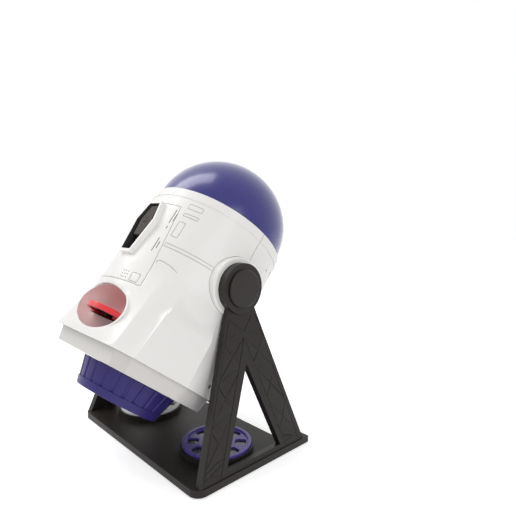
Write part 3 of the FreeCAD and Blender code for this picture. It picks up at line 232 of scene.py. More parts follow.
def give(piece, finish, body, slot, *nodes):
    """A finished piece gets its material and the body it rides on, and the nodes that it stands for are hidden; its
    slot is not used.
    """
    if finish is not None:
        piece.data.materials.clear()
        piece.data.materials.append(finish)
    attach(piece, body)
    if nodes:
        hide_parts(*nodes)


# Shader groups

def new_group(name, inputs, outputs):
    group = bpy.data.node_groups.new(name, "ShaderNodeTree")
    for label, kind, value in inputs:
        socket = group.interface.new_socket(label, in_out="INPUT", socket_type=kind)
        socket.default_value = value
    for label, kind in outputs:
        group.interface.new_socket(label, in_out="OUTPUT", socket_type=kind)
    return group, group.nodes.new("NodeGroupInput"), group.nodes.new("NodeGroupOutput")


def link(tree, source, target):
    tree.links.new(source, target)


def math_node(tree, operation, first, second=None, clamp=False):
    node = tree.nodes.new("ShaderNodeMath")
    node.operation = operation
    node.use_clamp = clamp
    for index, value in enumerate((first, second)):
        if value is None:
            continue
        if hasattr(value, "links"):
            link(tree, value, node.inputs[index])
        else:
            node.inputs[index].default_value = value
    return node.outputs[0]


CLOUD_SCALE = 22.0
SPECK_SCALE = 260.0
SPECK_START = 0.62
SPECK_GAIN = 6.0
DUST_COLOUR = (0.45, 0.43, 0.41, 1)
GRAIN_HEIGHT = 0.0002
ROUGHNESS_SWING = 1.6


def mould_group():
    """Moulded plastic: fine grain in the normal, and slow changes in colour and roughness."""
    name = "moulded_plastic"
    if name in bpy.data.node_groups:
        return bpy.data.node_groups[name]
    group, given, result = new_group(
        name,
        (("Colour", "NodeSocketColor", (0.8, 0.8, 0.8, 1)), ("Grain Size", "NodeSocketFloat", 900.0),
         ("Grain Depth", "NodeSocketFloat", 0.05), ("Roughness", "NodeSocketFloat", 0.4),
         ("Variation", "NodeSocketFloat", 0.04), ("Dust", "NodeSocketFloat", 0.03)),
        (("Colour", "NodeSocketColor"), ("Roughness", "NodeSocketFloat"), ("Normal", "NodeSocketVector")))
    place = group.nodes.new("ShaderNodeTexCoord").outputs["Object"]
    grain = group.nodes.new("ShaderNodeTexNoise")
    grain.inputs["Detail"].default_value = 3.0
    link(group, place, grain.inputs["Vector"])
    link(group, given.outputs["Grain Size"], grain.inputs["Scale"])
    cloud = group.nodes.new("ShaderNodeTexNoise")
    cloud.inputs["Scale"].default_value = CLOUD_SCALE
    cloud.inputs["Detail"].default_value = 4.0
    link(group, place, cloud.inputs["Vector"])
    swing = math_node(group, "SUBTRACT", cloud.outputs["Fac"], 0.5)
    swing = math_node(group, "MULTIPLY", swing, given.outputs["Variation"])
    bright = math_node(group, "ADD", swing, 1.0)
    tint = group.nodes.new("ShaderNodeVectorMath")
    tint.operation = "SCALE"
    link(group, given.outputs["Colour"], tint.inputs[0])
    link(group, bright, tint.inputs["Scale"])
    speck = group.nodes.new("ShaderNodeTexNoise")
    speck.inputs["Scale"].default_value = SPECK_SCALE
    speck.inputs["Detail"].default_value = 6.0
    link(group, place, speck.inputs["Vector"])
    mask = math_node(group, "SUBTRACT", speck.outputs["Fac"], SPECK_START)
    mask = math_node(group, "MULTIPLY", mask, SPECK_GAIN, clamp=True)
    mask = math_node(group, "MULTIPLY", mask, given.outputs["Dust"])
    mix = group.nodes.new("ShaderNodeMix")
    mix.data_type = "RGBA"
    link(group, mask, mix.inputs["Factor"])
    link(group, tint.outputs[0], mix.inputs["A"])
    mix.inputs["B"].default_value = DUST_COLOUR
    link(group, mix.outputs["Result"], result.inputs["Colour"])
    rough = math_node(group, "MULTIPLY", swing, ROUGHNESS_SWING)
    rough = math_node(group, "ADD", rough, given.outputs["Roughness"])
    link(group, math_node(group, "ADD", rough, mask, clamp=True), result.inputs["Roughness"])
    bump = group.nodes.new("ShaderNodeBump")
    bump.inputs["Distance"].default_value = GRAIN_HEIGHT
    link(group, grain.outputs["Fac"], bump.inputs["Height"])
    link(group, given.outputs["Grain Depth"], bump.inputs["Strength"])
    link(group, bump.outputs["Normal"], result.inputs["Normal"])
    return group


def new_finish(name):
    finish = bpy.data.materials.new(name)
    finish.use_nodes = True
    return finish, finish.node_tree, finish.node_tree.nodes["Principled BSDF"]


def plastic(name, colour, roughness=0.4, grain=900.0, depth=0.05, variation=0.04, dust=0.02, coat=0.0,
            specular=0.5):
    """A moulded plastic with the shared grain."""
    if name in bpy.data.materials:
        return bpy.data.materials[name]
    finish, tree, surface = new_finish(name)
    mould = tree.nodes.new("ShaderNodeGroup")
    mould.node_tree = mould_group()
    mould.inputs["Colour"].default_value = (*colour, 1)
    mould.inputs["Grain Size"].default_value = grain
    mould.inputs["Grain Depth"].default_value = depth
    mould.inputs["Roughness"].default_value = roughness
    mould.inputs["Variation"].default_value = variation
    mould.inputs["Dust"].default_value = dust
    link(tree, mould.outputs["Colour"], surface.inputs["Base Color"])
    link(tree, mould.outputs["Roughness"], surface.inputs["Roughness"])
    link(tree, mould.outputs["Normal"], surface.inputs["Normal"])
    surface.inputs["Coat Weight"].default_value = coat
    surface.inputs["Specular IOR Level"].default_value = specular
    finish.diffuse_color = (*colour, 1)
    return finish


PLASTICS = {
    # Grey of the panel lines' cut faces: painted shade in the engraved grooves of the white case.
    "panel_line_painted_shade": dict(colour=(0.56, 0.55, 0.54), roughness=0.6, grain=1100.0, variation=0.05, dust=0.0),
    # Dark grey of the marks, dots and screw wells: partly the marks' own grey, partly painted shade in the hollows.
    "mark_grey_and_painted_shade": dict(colour=(0.3, 0.25, 0.26), roughness=0.6),
    # A darker copy of the case white for the skirt, which faces down: painted shade.
    "skirt_white_painted_shade": dict(colour=(0.68, 0.66, 0.635), roughness=0.42, grain=1100.0, variation=0.03, coat=0.05),
    # Black of the inner parts; on the switch opening's walls and in the slider's dots it is painted shade.
    "black_parts_and_painted_shade": dict(colour=(0.03, 0.03, 0.032), roughness=0.55, grain=1200.0, depth=0.1, variation=0.08,
                         dust=0.03),
    "star_ball_blue": dict(colour=(0.03, 0.026, 0.2), roughness=0.35, grain=700.0, depth=0.04, variation=0.05,
                           dust=0.0),
    "star_light": dict(colour=(0.75, 0.75, 0.95), roughness=0.3),
    # A darker copy of the stand black for the brace grooves: painted shade in the grooves.
    "brace_groove_painted_shade": dict(colour=(0.013, 0.011, 0.01), roughness=0.55, grain=1500.0, depth=0.1, variation=0.1),
    "cap_black": dict(colour=(0.019, 0.015, 0.0125), roughness=0.34, grain=1500.0, depth=0.08, variation=0.1,
                      dust=0.01, specular=0.3),
    "ring_violet": dict(colour=(0.036, 0.026, 0.165), roughness=0.4, grain=1200.0, depth=0.06, variation=0.06,
                        dust=0.01, specular=0.3),
    "red_disc_plastic": dict(colour=(0.78, 0.02, 0.03), roughness=0.33, grain=1200.0, coat=0.15),
    "blue_disc_plastic": dict(colour=(0.075, 0.05, 0.29), roughness=0.33, grain=1200.0, coat=0.15),
    "white_disc_plastic": dict(colour=(0.8, 0.8, 0.8), roughness=0.33, grain=1200.0, coat=0.15),
    "picture_white": dict(colour=(0.7, 0.7, 0.74), roughness=0.4),
    "slider_brown": dict(colour=(0.068, 0.058, 0.054), roughness=0.65, grain=1500.0, depth=0.12, variation=0.1,
                         specular=0.15),
    "rubber_black": dict(colour=(0.025, 0.025, 0.025), roughness=0.8, grain=800.0, depth=0.3, variation=0.1,
                         dust=0.06),
    "circuit_green": dict(colour=(0.02, 0.14, 0.05), roughness=0.3, grain=500.0, depth=0.1, variation=0.15, dust=0.0,
                          coat=0.3),
    "battery_wrap": dict(colour=(0.04, 0.045, 0.06), roughness=0.25, grain=600.0, depth=0.02, variation=0.05,
                         dust=0.0, coat=0.4),
    "hub_grey": dict(colour=(0.3, 0.3, 0.34)),
    "film_brown": dict(colour=(0.11, 0.09, 0.08), roughness=0.15, grain=300.0, depth=0.02, variation=0.5, coat=0.5),
    "picture_film": dict(colour=(0.02, 0.02, 0.024), roughness=0.15, grain=300.0, depth=0.02, variation=0.4,
                         coat=0.5),
}


def listed_plastic(name):
    return plastic(name, **PLASTICS[name])


def steel(name, colour, roughness):
    """Plated steel with fine brushing."""
    if name in bpy.data.materials:
        return bpy.data.materials[name]
    finish, tree, surface = new_finish(name)
    place = tree.nodes.new("ShaderNodeTexCoord").outputs["Object"]
    brush = tree.nodes.new("ShaderNodeTexNoise")
    brush.inputs["Scale"].default_value = 1400.0
    brush.inputs["Detail"].default_value = 2.0
    link(tree, place, brush.inputs["Vector"])
    rough = math_node(tree, "MULTIPLY", brush.outputs["Fac"], 0.2)
    link(tree, math_node(tree, "ADD", rough, roughness), surface.inputs["Roughness"])
    surface.inputs["Base Color"].default_value = (*colour, 1)
    surface.inputs["Metallic"].default_value = 1.0
    return finish


def clear_plastic(name, colour, roughness, transmission, ior=1.45):
    """Tinted clear plastic or glass with a faint ripple."""
    if name in bpy.data.materials:
        return bpy.data.materials[name]
    finish, tree, surface = new_finish(name)
    place = tree.nodes.new("ShaderNodeTexCoord").outputs["Object"]
    ripple = tree.nodes.new("ShaderNodeTexNoise")
    ripple.inputs["Scale"].default_value = 30.0
    link(tree, place, ripple.inputs["Vector"])
    bump = tree.nodes.new("ShaderNodeBump")
    bump.inputs["Strength"].default_value = 0.02
    bump.inputs["Distance"].default_value = 0.0005
    link(tree, ripple.outputs["Fac"], bump.inputs["Height"])
    link(tree, bump.outputs["Normal"], surface.inputs["Normal"])
    surface.inputs["Base Color"].default_value = (*colour, 1)
    surface.inputs["Roughness"].default_value = roughness
    surface.inputs["Transmission Weight"].default_value = transmission
    surface.inputs["IOR"].default_value = ior
    return finish


DOME_ROUGHNESS = 0.15
DOME_IOR = 1.4
COAT_IOR = 1.48
COAT_ROUGHNESS = 0.27


def dome_blue():
    """Tinted dome: deep blue seen straight on, lightened towards lavender at grazing angles as a painted sheen."""
    look = bpy.context.scene.projector_dome
    finish = clear_plastic("dome_blue", look.colour, DOME_ROUGHNESS, look.clearness, DOME_IOR)
    tree = finish.node_tree
    surface = tree.nodes["Principled BSDF"]
    # The facing mix paints a sheen that lightens the dome where it is seen at a grazing angle.
    edge = tree.nodes.new("ShaderNodeLayerWeight")
    edge.inputs["Blend"].default_value = 0.32
    mix = tree.nodes.new("ShaderNodeMix")
    mix.data_type = "RGBA"
    mix.inputs["A"].default_value = (*look.colour, 1)
    mix.inputs["B"].default_value = (*look.painted_sheen_colour, 1)
    link(tree, math_node(tree, "POWER", edge.outputs["Facing"], 1.6), mix.inputs["Factor"])
    link(tree, mix.outputs["Result"], surface.inputs["Base Color"])
    surface.inputs["Coat Weight"].default_value = 1.0
    surface.inputs["Coat IOR"].default_value = COAT_IOR
    surface.inputs["Coat Roughness"].default_value = COAT_ROUGHNESS
    surface.inputs["Specular IOR Level"].default_value = 0.1
    return finish


def white_case():
    look = bpy.context.scene.projector_case
    return plastic("case_white", look.colour, look.roughness, 1100.0, 0.04, 0.02, 0.012, 0.12)


def stand_black():
    look = bpy.context.scene.projector_stand
    return plastic("stand_black", look.colour, look.roughness, 1500.0, 0.16, 0.12, 0.015, 0.0, 0.26)


# Properties

class ProjectorCase(bpy.types.PropertyGroup):
    colour: FloatVectorProperty(name="Case Colour", description="Colour of the white case halves",
                                subtype="COLOR", size=3, min=0, max=1, default=(0.86, 0.848, 0.828))
    roughness: FloatProperty(name="Case Roughness", description="How matt the white plastic is",
                             subtype="FACTOR", min=0, max=1, default=0.36)
    line_width: FloatProperty(name="Line Width", description="Width of the engraved panel lines",
                              unit="LENGTH", min=0.0001, max=0.003, default=0.0005)
    line_depth: FloatProperty(name="Line Depth", description="Depth of the engraved panel lines",
                              unit="LENGTH", min=0.0001, max=0.0015, default=0.0004)
    edge: FloatProperty(name="Edge Rounding", description="Rounding of the moulded edges",
                        unit="LENGTH", min=0.0, max=0.002, default=0.0005)


class ProjectorDome(bpy.types.PropertyGroup):
    colour: FloatVectorProperty(name="Dome Colour", description="Tint of the clear dome",
                                subtype="COLOR", size=3, min=0, max=1, default=(0.022, 0.014, 0.29))
    # Colour the dome takes at grazing angles: a painted sheen.
    painted_sheen_colour: FloatVectorProperty(name="Dome Edge Colour", description="Tint of the dome seen along its wall",
                                     subtype="COLOR", size=3, min=0, max=1, default=(0.06, 0.055, 0.36))
    clearness: FloatProperty(name="Dome Clearness", description="Share of the light that passes into the dome",
                             subtype="FACTOR", min=0, max=1, default=0.45)
    star_count: IntProperty(name="Star Holes", description="Number of star holes in the inner ball",
                            min=0, max=800, default=260)
    star_seed: IntProperty(name="Star Seed", description="Seed of the star holes' places", default=7)


class ProjectorDiscs(bpy.types.PropertyGroup):
    speck_count: IntProperty(name="Picture Specks", description="Number of star specks in one disc's pictures",
                             min=0, max=600, default=150)
    speck_seed: IntProperty(name="Picture Seed", description="Seed of the specks' places", default=3)
    speck_radius: FloatProperty(name="Speck Radius", description="Radius of one star speck in a picture",
                                unit="LENGTH", min=0.00005, max=0.0005, default=0.00013)


class ProjectorStand(bpy.types.PropertyGroup):
    colour: FloatVectorProperty(name="Stand Colour", description="Colour of the base and uprights",
                                subtype="COLOR", size=3, min=0, max=1, default=(0.018, 0.0142, 0.012))
    roughness: FloatProperty(name="Stand Roughness", description="How matt the stand is",
                             subtype="FACTOR", min=0, max=1, default=0.42)
    groove_width: FloatProperty(name="Brace Width", description="Width of the engraved braces",
                                unit="LENGTH", min=0.0002, max=0.004, default=0.0007)
    groove_depth: FloatProperty(name="Brace Depth", description="Depth of the engraved braces",
                                unit="LENGTH", min=0.0001, max=0.002, default=0.00035)


class ProjectorStage(bpy.types.PropertyGroup):
    key_power: FloatProperty(name="Key Power", description="Power of the large soft lamp over the object",
                             unit="POWER", min=0, default=9.4)
    fill_power: FloatProperty(name="Fill Power", description="Power of the lamp at the right",
                              unit="POWER", min=0, default=2.0)
    ambient: FloatProperty(name="Ambient", description="Strength of the even light from all round",
                           min=0, max=3, default=0.56)


# Case

# Engraved lines as (closed, corners of (angle from the front, height above the pivot))
FRONT_PANEL = ((-23.5, 35.7), (23.5, 35.7), (29.5, -20.0), (30.5, -37.8), (-30.5, -37.8), (-29.5, -20.0))
CASE_LINES = (
    (True, FRONT_PANEL),
    (True, ((29, 36.2), (40.5, 36.2), (40.5, 40.6), (29, 40.6))),
    (True, ((29, 28.8), (40.8, 28.8), (40.8, 31.4), (29, 31.4))),
    (True, ((29, 9), (34.3, 9), (34.3, 23), (29, 23))),
    (False, ((66.8, 2.1), (28.8, 2.1), (28.8, -0.9), (66.8, -0.9))),
    (False, ((31.2, -16.0), (30.4, -14.6), (31.4, -13.2), (35, -13.0), (41, -13.8), (47, -16.0))),
    (True, ((18.5, -36.5), (26, -36.5), (26, -29.5), (18.5, -29.5))),
    (False, ((10, 35.7), (10, 38.5))),
    (False, ((89.75, 52.2), (89.75, 26.2))),
    (False, ((12.5, 52.4), (9.5, 45.6))),
)
DOT_CLUSTER = tuple((angle, up) for angle in (9.0, 11.6, 14.2) for up in (-29.8, -32.4, -35.0))
DOT_RADIUS = 0.5
MARK_WIDTH_SHARE = 1.5
MIRRORED_LINES = slice(1, 6)
SLIDER_DOTS = ((-2.6, 5.2), (2.2, 2.4), (-1.6, -2.6), (1.8, -6.0))
SLIDER_DOT_RADIUS = 0.55
SLIDER_DOT_DEPTH = 0.5
DOT_DEPTH = 0.4
WALL_DOT = (114.55, 32.8)
WALL_DOT_RADIUS = 0.9
SCREW_WELL = (24.08, -76.5)
SCREW_WELL_RADIUS = 1.7
SCREW_WELL_DEPTH = 1.2
SCOOP_CENTRE = (0.0, -FACE_FRONT, -60.9)
SCOOP_RADII = (36.0, 19.0, 18.4)
# Pink tint of the scoop hollow: painted red bounce light from the red disc.
SCOOP_PAINTED_BOUNCE_COLOUR = (0.8, 0.58, 0.57)
CASE_MARKS = (
    (False, ((22.0, 31.5), (22.0, 19.0))),
    (False, ((24.2, 28.0), (24.2, 21.5))),
    (False, ((22.4, 15.6), (22.4, 13.8))),
    (False, ((22.0, 4.0), (22.0, -8.0))),
    (False, ((24.2, 1.0), (24.2, -4.5))),
)
REAR_LINES = (
    (False, ((113.4, 2.1), (142, 2.1), (142, -0.9), (113.4, -0.9))),
    (False, ((150, 44), (150, -19))),
    (False, ((-150, 44), (-150, -19))),
    (False, ((118, -8), (132, -8), (132, -22))),
)


def wall_spot(tree, angle, up):
    """Point of the case wall at an angle and height, and its outward normal."""
    start = drum_point(CASE_RADIUS * 1.6, angle, up)
    inwards = (drum_point(0, angle, up) - start).normalized()
    spot, normal, _, _ = tree.ray_cast(start, inwards)
    if spot is None:
        raise RuntimeError(f"no case wall at angle {angle:.1f}, height {up:.1f}")
    return spot, normal if normal.dot(inwards) < 0 else -normal


def drape(tree, line, closed):
    """Points and normals of a line of (angle, height) corners laid over the case."""
    points = []
    spans = list(zip(line, line[1:] + (line[:1] if closed else ())))
    for (angle, up), (next_angle, next_up) in spans:
        length = max(abs(next_angle - angle) * 1.12, abs(next_up - up), 0.1)
        steps = max(1, round(length / 2.2))
        for step in range(steps):
            share = step / steps
            points.append((angle + (next_angle - angle) * share, up + (next_up - up) * share))
    if not closed:
        points.append(line[-1])
    spots, normals = zip(*(wall_spot(tree, angle, up) for angle, up in points))
    return spots, normals


def rear_pits(tree):
    """Small dots and screw wells on both sides of the rear half."""
    pits = []
    for side in (-1, 1):
        angle, up = WALL_DOT
        pits.append(pit(*wall_spot(tree, side * angle, up), WALL_DOT_RADIUS * MM, DOT_DEPTH * MM))
        inwards = Vector((-side, 0, 0))
        spot = tree.ray_cast(case_point(side * CASE_RADIUS * 2, *SCREW_WELL), inwards)[0]
        pits.append(pit(spot, -inwards, SCREW_WELL_RADIUS * MM, SCREW_WELL_DEPTH * MM, 20))
    return pits


def mirrored(line):
    return tuple((-angle, up) for angle, up in line)


def case_channels(tree, lines, width, depth):
    channels = []
    for closed, line in lines:
        channels.append(channel(*drape(tree, line, closed), width, depth, closed))
    return channels


def surface_tree(piece):
    mesh = piece.data
    points = [vertex.co.copy() for vertex in mesh.vertices]
    return BVHTree.FromPolygons(points, [tuple(polygon.vertices) for polygon in mesh.polygons])


def case_frame(points):
    """World points in metres as rows of (x, back, up) millimetres in the projector's own frame."""
    tilt = math.radians(REST_TILT)
    x, y, height = (points / MM).T
    height = height - PIVOT_HEIGHT
    return np.stack([x, y * math.cos(tilt) - height * math.sin(tilt),
                     y * math.sin(tilt) + height * math.cos(tilt)], axis=1)


def round_drum(piece):
    """Corner normals of the case's round faces point straight out from its axis."""
    mesh = piece.data
    places = np.empty(len(mesh.vertices) * 3)
    mesh.vertices.foreach_get("co", places)
    local = case_frame(places.reshape(-1, 3))
    corners = np.empty(len(mesh.loops), dtype=np.int32)
    mesh.loops.foreach_get("vertex_index", corners)
    normals = np.array([tuple(corner.vector) for corner in mesh.corner_normals])
    owner = np.empty(len(mesh.loops), dtype=np.int32)
    face_normals = np.array([tuple(face.normal) for face in mesh.polygons])
    for index, face in enumerate(mesh.polygons):
        owner[face.loop_start:face.loop_start + face.loop_total] = index
    x, back, up = local[corners].T
    radius = np.maximum(np.hypot(x, back), 1e-6)
    tilt = math.radians(REST_TILT)
    ideal = np.stack([x / radius, back / radius * math.cos(tilt), -back / radius * math.sin(tilt)], axis=1)
    on_wall = (np.abs(radius - CASE_RADIUS) < 0.08) | (np.abs(radius - RIM_RADIUS) < 0.08)
    on_wall &= (up > DRUM_LOW) & (up < DRUM_TOP)
    on_wall &= np.einsum("ij,ij->i", face_normals[owner], ideal) > 0.97
    normals[on_wall] = ideal[on_wall]
    mesh.normals_split_custom_set([tuple(normal) for normal in normals])


SWITCH_CENTRE = 12.0
SLIDER_CENTRE = 14.0
RECESS_FACE = 67.6
RECESS_FLOOR = 60.1
RECESS_HALF_WIDTH = 16
RECESS_LOW = -17
RECESS_TOP = 37


def in_recess(place, out):
    """Whether a face, at a place and facing out in the projector's frame, is an inner wall of the switch opening."""
    x, back, up = place
    inwards = out[0] * x + out[2] * (up - SWITCH_CENTRE)
    return (-RECESS_FACE < back < -RECESS_FLOOR and abs(x) < RECESS_HALF_WIDTH
            and RECESS_LOW < up < RECESS_TOP and inwards < -1)


def in_scoop(place, out):
    """Whether a face lies on the hollow of the finger scoop."""
    spread = sum(((value - centre) / radius) ** 2 for value, centre, radius in zip(place, SCOOP_CENTRE, SCOOP_RADII))
    return abs(spread - 1) < 0.06 and place[1] > 0.5 - FACE_FRONT and out[1] < 0.2


def paint_faces(piece, finish, chosen):
    """Faces that the test chooses take another finish."""
    mesh = piece.data
    mesh.materials.append(finish)
    slot = len(mesh.materials) - 1
    origin = case_frame(np.zeros((1, 3)))[0]
    for face in mesh.polygons:
        place = case_frame(np.array([tuple(face.center)]))[0]
        out = case_frame(np.array([tuple(face.normal * MM)]))[0] - origin
        if chosen(place, out):
            face.material_index = slot


def front_half(look):
    """Front case half with its panel lines, marks, switch opening and finger scoop."""
    front = node_copy("case_front", ["front_shell"])
    # The marks' and dots' cut faces are partly their own grey, partly painted shade in the hollows.
    marks = listed_plastic("mark_grey_and_painted_shade")
    lines = list(CASE_LINES) + [(closed, mirrored(line)) for closed, line in CASE_LINES[MIRRORED_LINES]]
    # The cut faces of the panel lines take a grey that paints shade into the grooves.
    engrave(front, case_channels(surface_tree(front), lines, look.line_width, look.line_depth), white_case(),
            listed_plastic("panel_line_painted_shade"))
    engrave(front, case_channels(surface_tree(front), CASE_MARKS, look.line_width * MARK_WIDTH_SHARE,
                                 look.line_depth), None, marks)
    tree = surface_tree(front)
    engrave(front, [pit(*wall_spot(tree, angle, up), DOT_RADIUS * MM, look.line_depth)
                    for angle, up in DOT_CLUSTER], None, marks)
    shade(front)
    # The inner walls of the switch opening are white case plastic painted near-black as painted shade.
    paint_faces(front, listed_plastic("black_parts_and_painted_shade"), in_recess)
    # The scoop hollow takes a pink copy of the case white, which is painted red bounce light from the disc.
    paint_faces(front, plastic("scoop_painted_red_bounce", SCOOP_PAINTED_BOUNCE_COLOUR, look.roughness, 1100.0, 0.04, 0.02), in_scoop)
    round_drum(front)
    give(front, None, "projector", "white_plastic", "front_shell")


def rear_half(look):
    """Rear case half with its panel lines, dots and screw wells."""
    rear = node_copy("case_rear", ["rear_shell"])
    lines = list(REAR_LINES) + [(closed, mirrored(line)) for closed, line in (REAR_LINES[0], REAR_LINES[3])]
    # The cut faces of the panel lines take a grey that paints shade into the grooves.
    engrave(rear, case_channels(surface_tree(rear), lines, look.line_width, look.line_depth), white_case(),
            listed_plastic("panel_line_painted_shade"))
    # The dots' and screw wells' walls are painted dark grey as painted shade in the holes.
    engrave(rear, rear_pits(surface_tree(rear)), None, listed_plastic("mark_grey_and_painted_shade"))
    shade(rear)
    round_drum(rear)
    give(rear, None, "projector", "white_plastic", "rear_shell")


class PROJECTOR_OT_case(bpy.types.Operator):
    """Case halves with engraved panel lines, the battery door and the closing plate at the lens end."""
    bl_idname = "projector.case"
    bl_label = "Case"

    def execute(self, context):
        look = context.scene.projector_case
        front_half(look)
        rear_half(look)
        door = node_copy("battery_lid", ["battery_door"], look.edge / MM * 0.8)
        shade(door)
        give(door, white_case(), "battery_door", "white_plastic", "battery_door")
        skirt = node_copy("lens_skirt", ["nose_skirt"], look.edge / MM)
        shade(skirt)
        # The skirt takes a darker copy of the case white as painted shade.
        give(skirt, listed_plastic("skirt_white_painted_shade"), "projector", "white_plastic", "nose_skirt")
        return {"FINISHED"}


# Dome

def dome_profile(radius, centre, foot, wall):
    """Profile of a ball-shaped cover that stands on a foot."""
    low = math.degrees(math.asin((foot - centre) / radius))
    outer = [(radius * math.cos(math.radians(angle)), centre + radius * math.sin(math.radians(angle)))
             for angle in np.linspace(low, 90, 40)]
    inner_radius = radius - wall
    low_inner = math.degrees(math.asin((foot - centre) / inner_radius))
    inner = [(inner_radius * math.cos(math.radians(angle)), centre + inner_radius * math.sin(math.radians(angle)))
             for angle in np.linspace(90, low_inner, 40)]
    outer[-1] = (0.0, outer[-1][1])
    inner[0] = (0.0, inner[0][1])
    return outer, inner


def ball_cover(name, radius, centre, foot, wall, segments):
    """Closed dome shell."""
    outer, inner = dome_profile(radius, centre, foot, wall)
    points = []
    faces = []
    rings = []
    for ring_radius, up in outer + inner:
        if ring_radius < 1e-6:
            rings.append([len(points)])
            points.append(case_point(0, 0, up))
        else:
            rings.append(list(range(len(points), len(points) + segments)))
            points.extend(drum_point(ring_radius, 360 * step / segments, up) for step in range(segments))
    pairs = [(rings[index], rings[index + 1]) for index in range(len(rings) - 1)
             if not (len(rings[index]) == 1 and len(rings[index + 1]) == 1)]
    pairs.append((rings[-1], rings[0]))
    for low, high in pairs:
        for step in range(segments):
            following = (step + 1) % segments
            face = [low[step % len(low)], low[following % len(low)], high[following % len(high)],
                    high[step % len(high)]]
            face = list(dict.fromkeys(face))
            if len(face) > 2:
                faces.append(face)
    mesh = mesh_from(name, points, faces)
    shape = bmesh.new()
    shape.from_mesh(mesh)
    bmesh.ops.recalc_face_normals(shape, faces=shape.faces)
    shape.to_mesh(mesh)
    shape.free()
    piece = add_piece(name, mesh)
    shade(piece, 50, False)
    return piece


def star_tree():
    """Geometry Nodes tree that scatters small raised star holes over a ball."""
    tree = bpy.data.node_groups.new("star_holes", "GeometryNodeTree")
    tree.interface.new_socket("Geometry", in_out="INPUT", socket_type="NodeSocketGeometry")
    for label, kind, value in (("Count", "NodeSocketInt", 260), ("Seed", "NodeSocketInt", 7),
                               ("Radius", "NodeSocketFloat", 0.0006), ("Material", "NodeSocketMaterial", None)):
        socket = tree.interface.new_socket(label, in_out="INPUT", socket_type=kind)
        if value is not None:
            socket.default_value = value
    tree.interface.new_socket("Geometry", in_out="OUTPUT", socket_type="NodeSocketGeometry")
    nodes = tree.nodes
    given = nodes.new("NodeGroupInput")
    scatter = nodes.new("GeometryNodeDistributePointsOnFaces")
    area = nodes.new("GeometryNodeAttributeStatistic")
    area.domain = "FACE"
    face_area = nodes.new("GeometryNodeInputMeshFaceArea")
    density = nodes.new("ShaderNodeMath")
    density.operation = "DIVIDE"
    stud = nodes.new("GeometryNodeMeshIcoSphere")
    stud.inputs["Subdivisions"].default_value = 1
    chance = nodes.new("FunctionNodeRandomValue")
    chance.data_type = "FLOAT"
    chance.inputs[2].default_value = 0.5
    chance.inputs[3].default_value = 1.3
    place = nodes.new("GeometryNodeInstanceOnPoints")
    real = nodes.new("GeometryNodeRealizeInstances")
    paint = nodes.new("GeometryNodeSetMaterial")
    result = nodes.new("NodeGroupOutput")
    links = tree.links
    links.new(given.outputs["Geometry"], area.inputs["Geometry"])
    links.new(face_area.outputs[0], area.inputs["Attribute"])
    links.new(given.outputs["Count"], density.inputs[0])
    links.new(area.outputs["Sum"], density.inputs[1])
    links.new(given.outputs["Geometry"], scatter.inputs["Mesh"])
    links.new(density.outputs[0], scatter.inputs["Density"])
    links.new(given.outputs["Seed"], scatter.inputs["Seed"])
    links.new(given.outputs["Seed"], chance.inputs["Seed"])
    links.new(given.outputs["Radius"], stud.inputs["Radius"])
    links.new(scatter.outputs["Points"], place.inputs["Points"])
    links.new(stud.outputs["Mesh"], place.inputs["Instance"])
    links.new(chance.outputs[1], place.inputs["Scale"])
    links.new(place.outputs["Instances"], real.inputs["Geometry"])
    links.new(real.outputs["Geometry"], paint.inputs["Geometry"])
    links.new(given.outputs["Material"], paint.inputs["Material"])
    links.new(paint.outputs["Geometry"], result.inputs["Geometry"])
    return tree


def set_inputs(modifier, values):
    """Set a tree's inputs by the identifiers of their sockets."""
    sockets = {item.name: item.identifier for item in modifier.node_group.interface.items_tree
               if item.item_type == "SOCKET" and item.in_out == "INPUT"}
    for name, value in values.items():
        modifier[sockets[name]] = value


def scatter_dots(name, mesh, count, seed, radius, finish):
    """Small raised dots spread over a mesh, as a piece of their own."""
    piece = add_piece(name, mesh)
    scatter = piece.modifiers.new("dots", "NODES")
    scatter.node_group = bpy.data.node_groups.get("star_holes") or star_tree()
    set_inputs(scatter, {"Count": count, "Seed": seed, "Radius": radius * MM, "Material": finish})
    bake_modifiers(piece)
    return piece


class PROJECTOR_OT_dome(bpy.types.Operator):
    """Clear dome and the ball with star holes under it."""
    bl_idname = "projector.dome"
    bl_label = "Dome"

    def execute(self, context):
        look = context.scene.projector_dome
        dome = ball_cover("dome_cover", DOME_RADIUS, DOME_CENTRE, DOME_FOOT, DOME_WALL, 128)
        give(dome, dome_blue(), "projector", "blue_dome", "star_dome")
        mask = ball_cover("star_ball", MASK_RADIUS, MASK_CENTRE, MASK_CENTRE + 0.3, MASK_WALL, 96)
        give(mask, listed_plastic("star_ball_blue"), "projector", "dark_mask", "star_mask")
        stars = scatter_dots("star_holes", mask.data.copy(), look.star_count, look.star_seed, 0.5,
                             listed_plastic("star_light"))
        give(stars, None, "projector", "dark_mask")
        return {"FINISHED"}


# Stand

BRACE_LOW = 8.5
BRACE_ARCS = ((102.5, 107.0), (74.0, 81.0), (44.5, 50.5), (15.0, 20.5))
HEAD_BRACES = (((-16.4, 105.6), (-8, 107.6), (0, 108), (8, 106.6), (15.6, 103.2)), ((-13.0, 118.0), (0, 108)),
               ((9.5, 119.5), (0, 108)))


def outer_edge(side, height):
    """How far across an upright the line along its outer edge lies."""
    return side * (54.6 - 41.4 * height / 122.4)


def inner_edge(side, height):
    """How far across an upright the line along its open middle lies."""
    return side * (38.4 - 38.4 * height / 104.0)


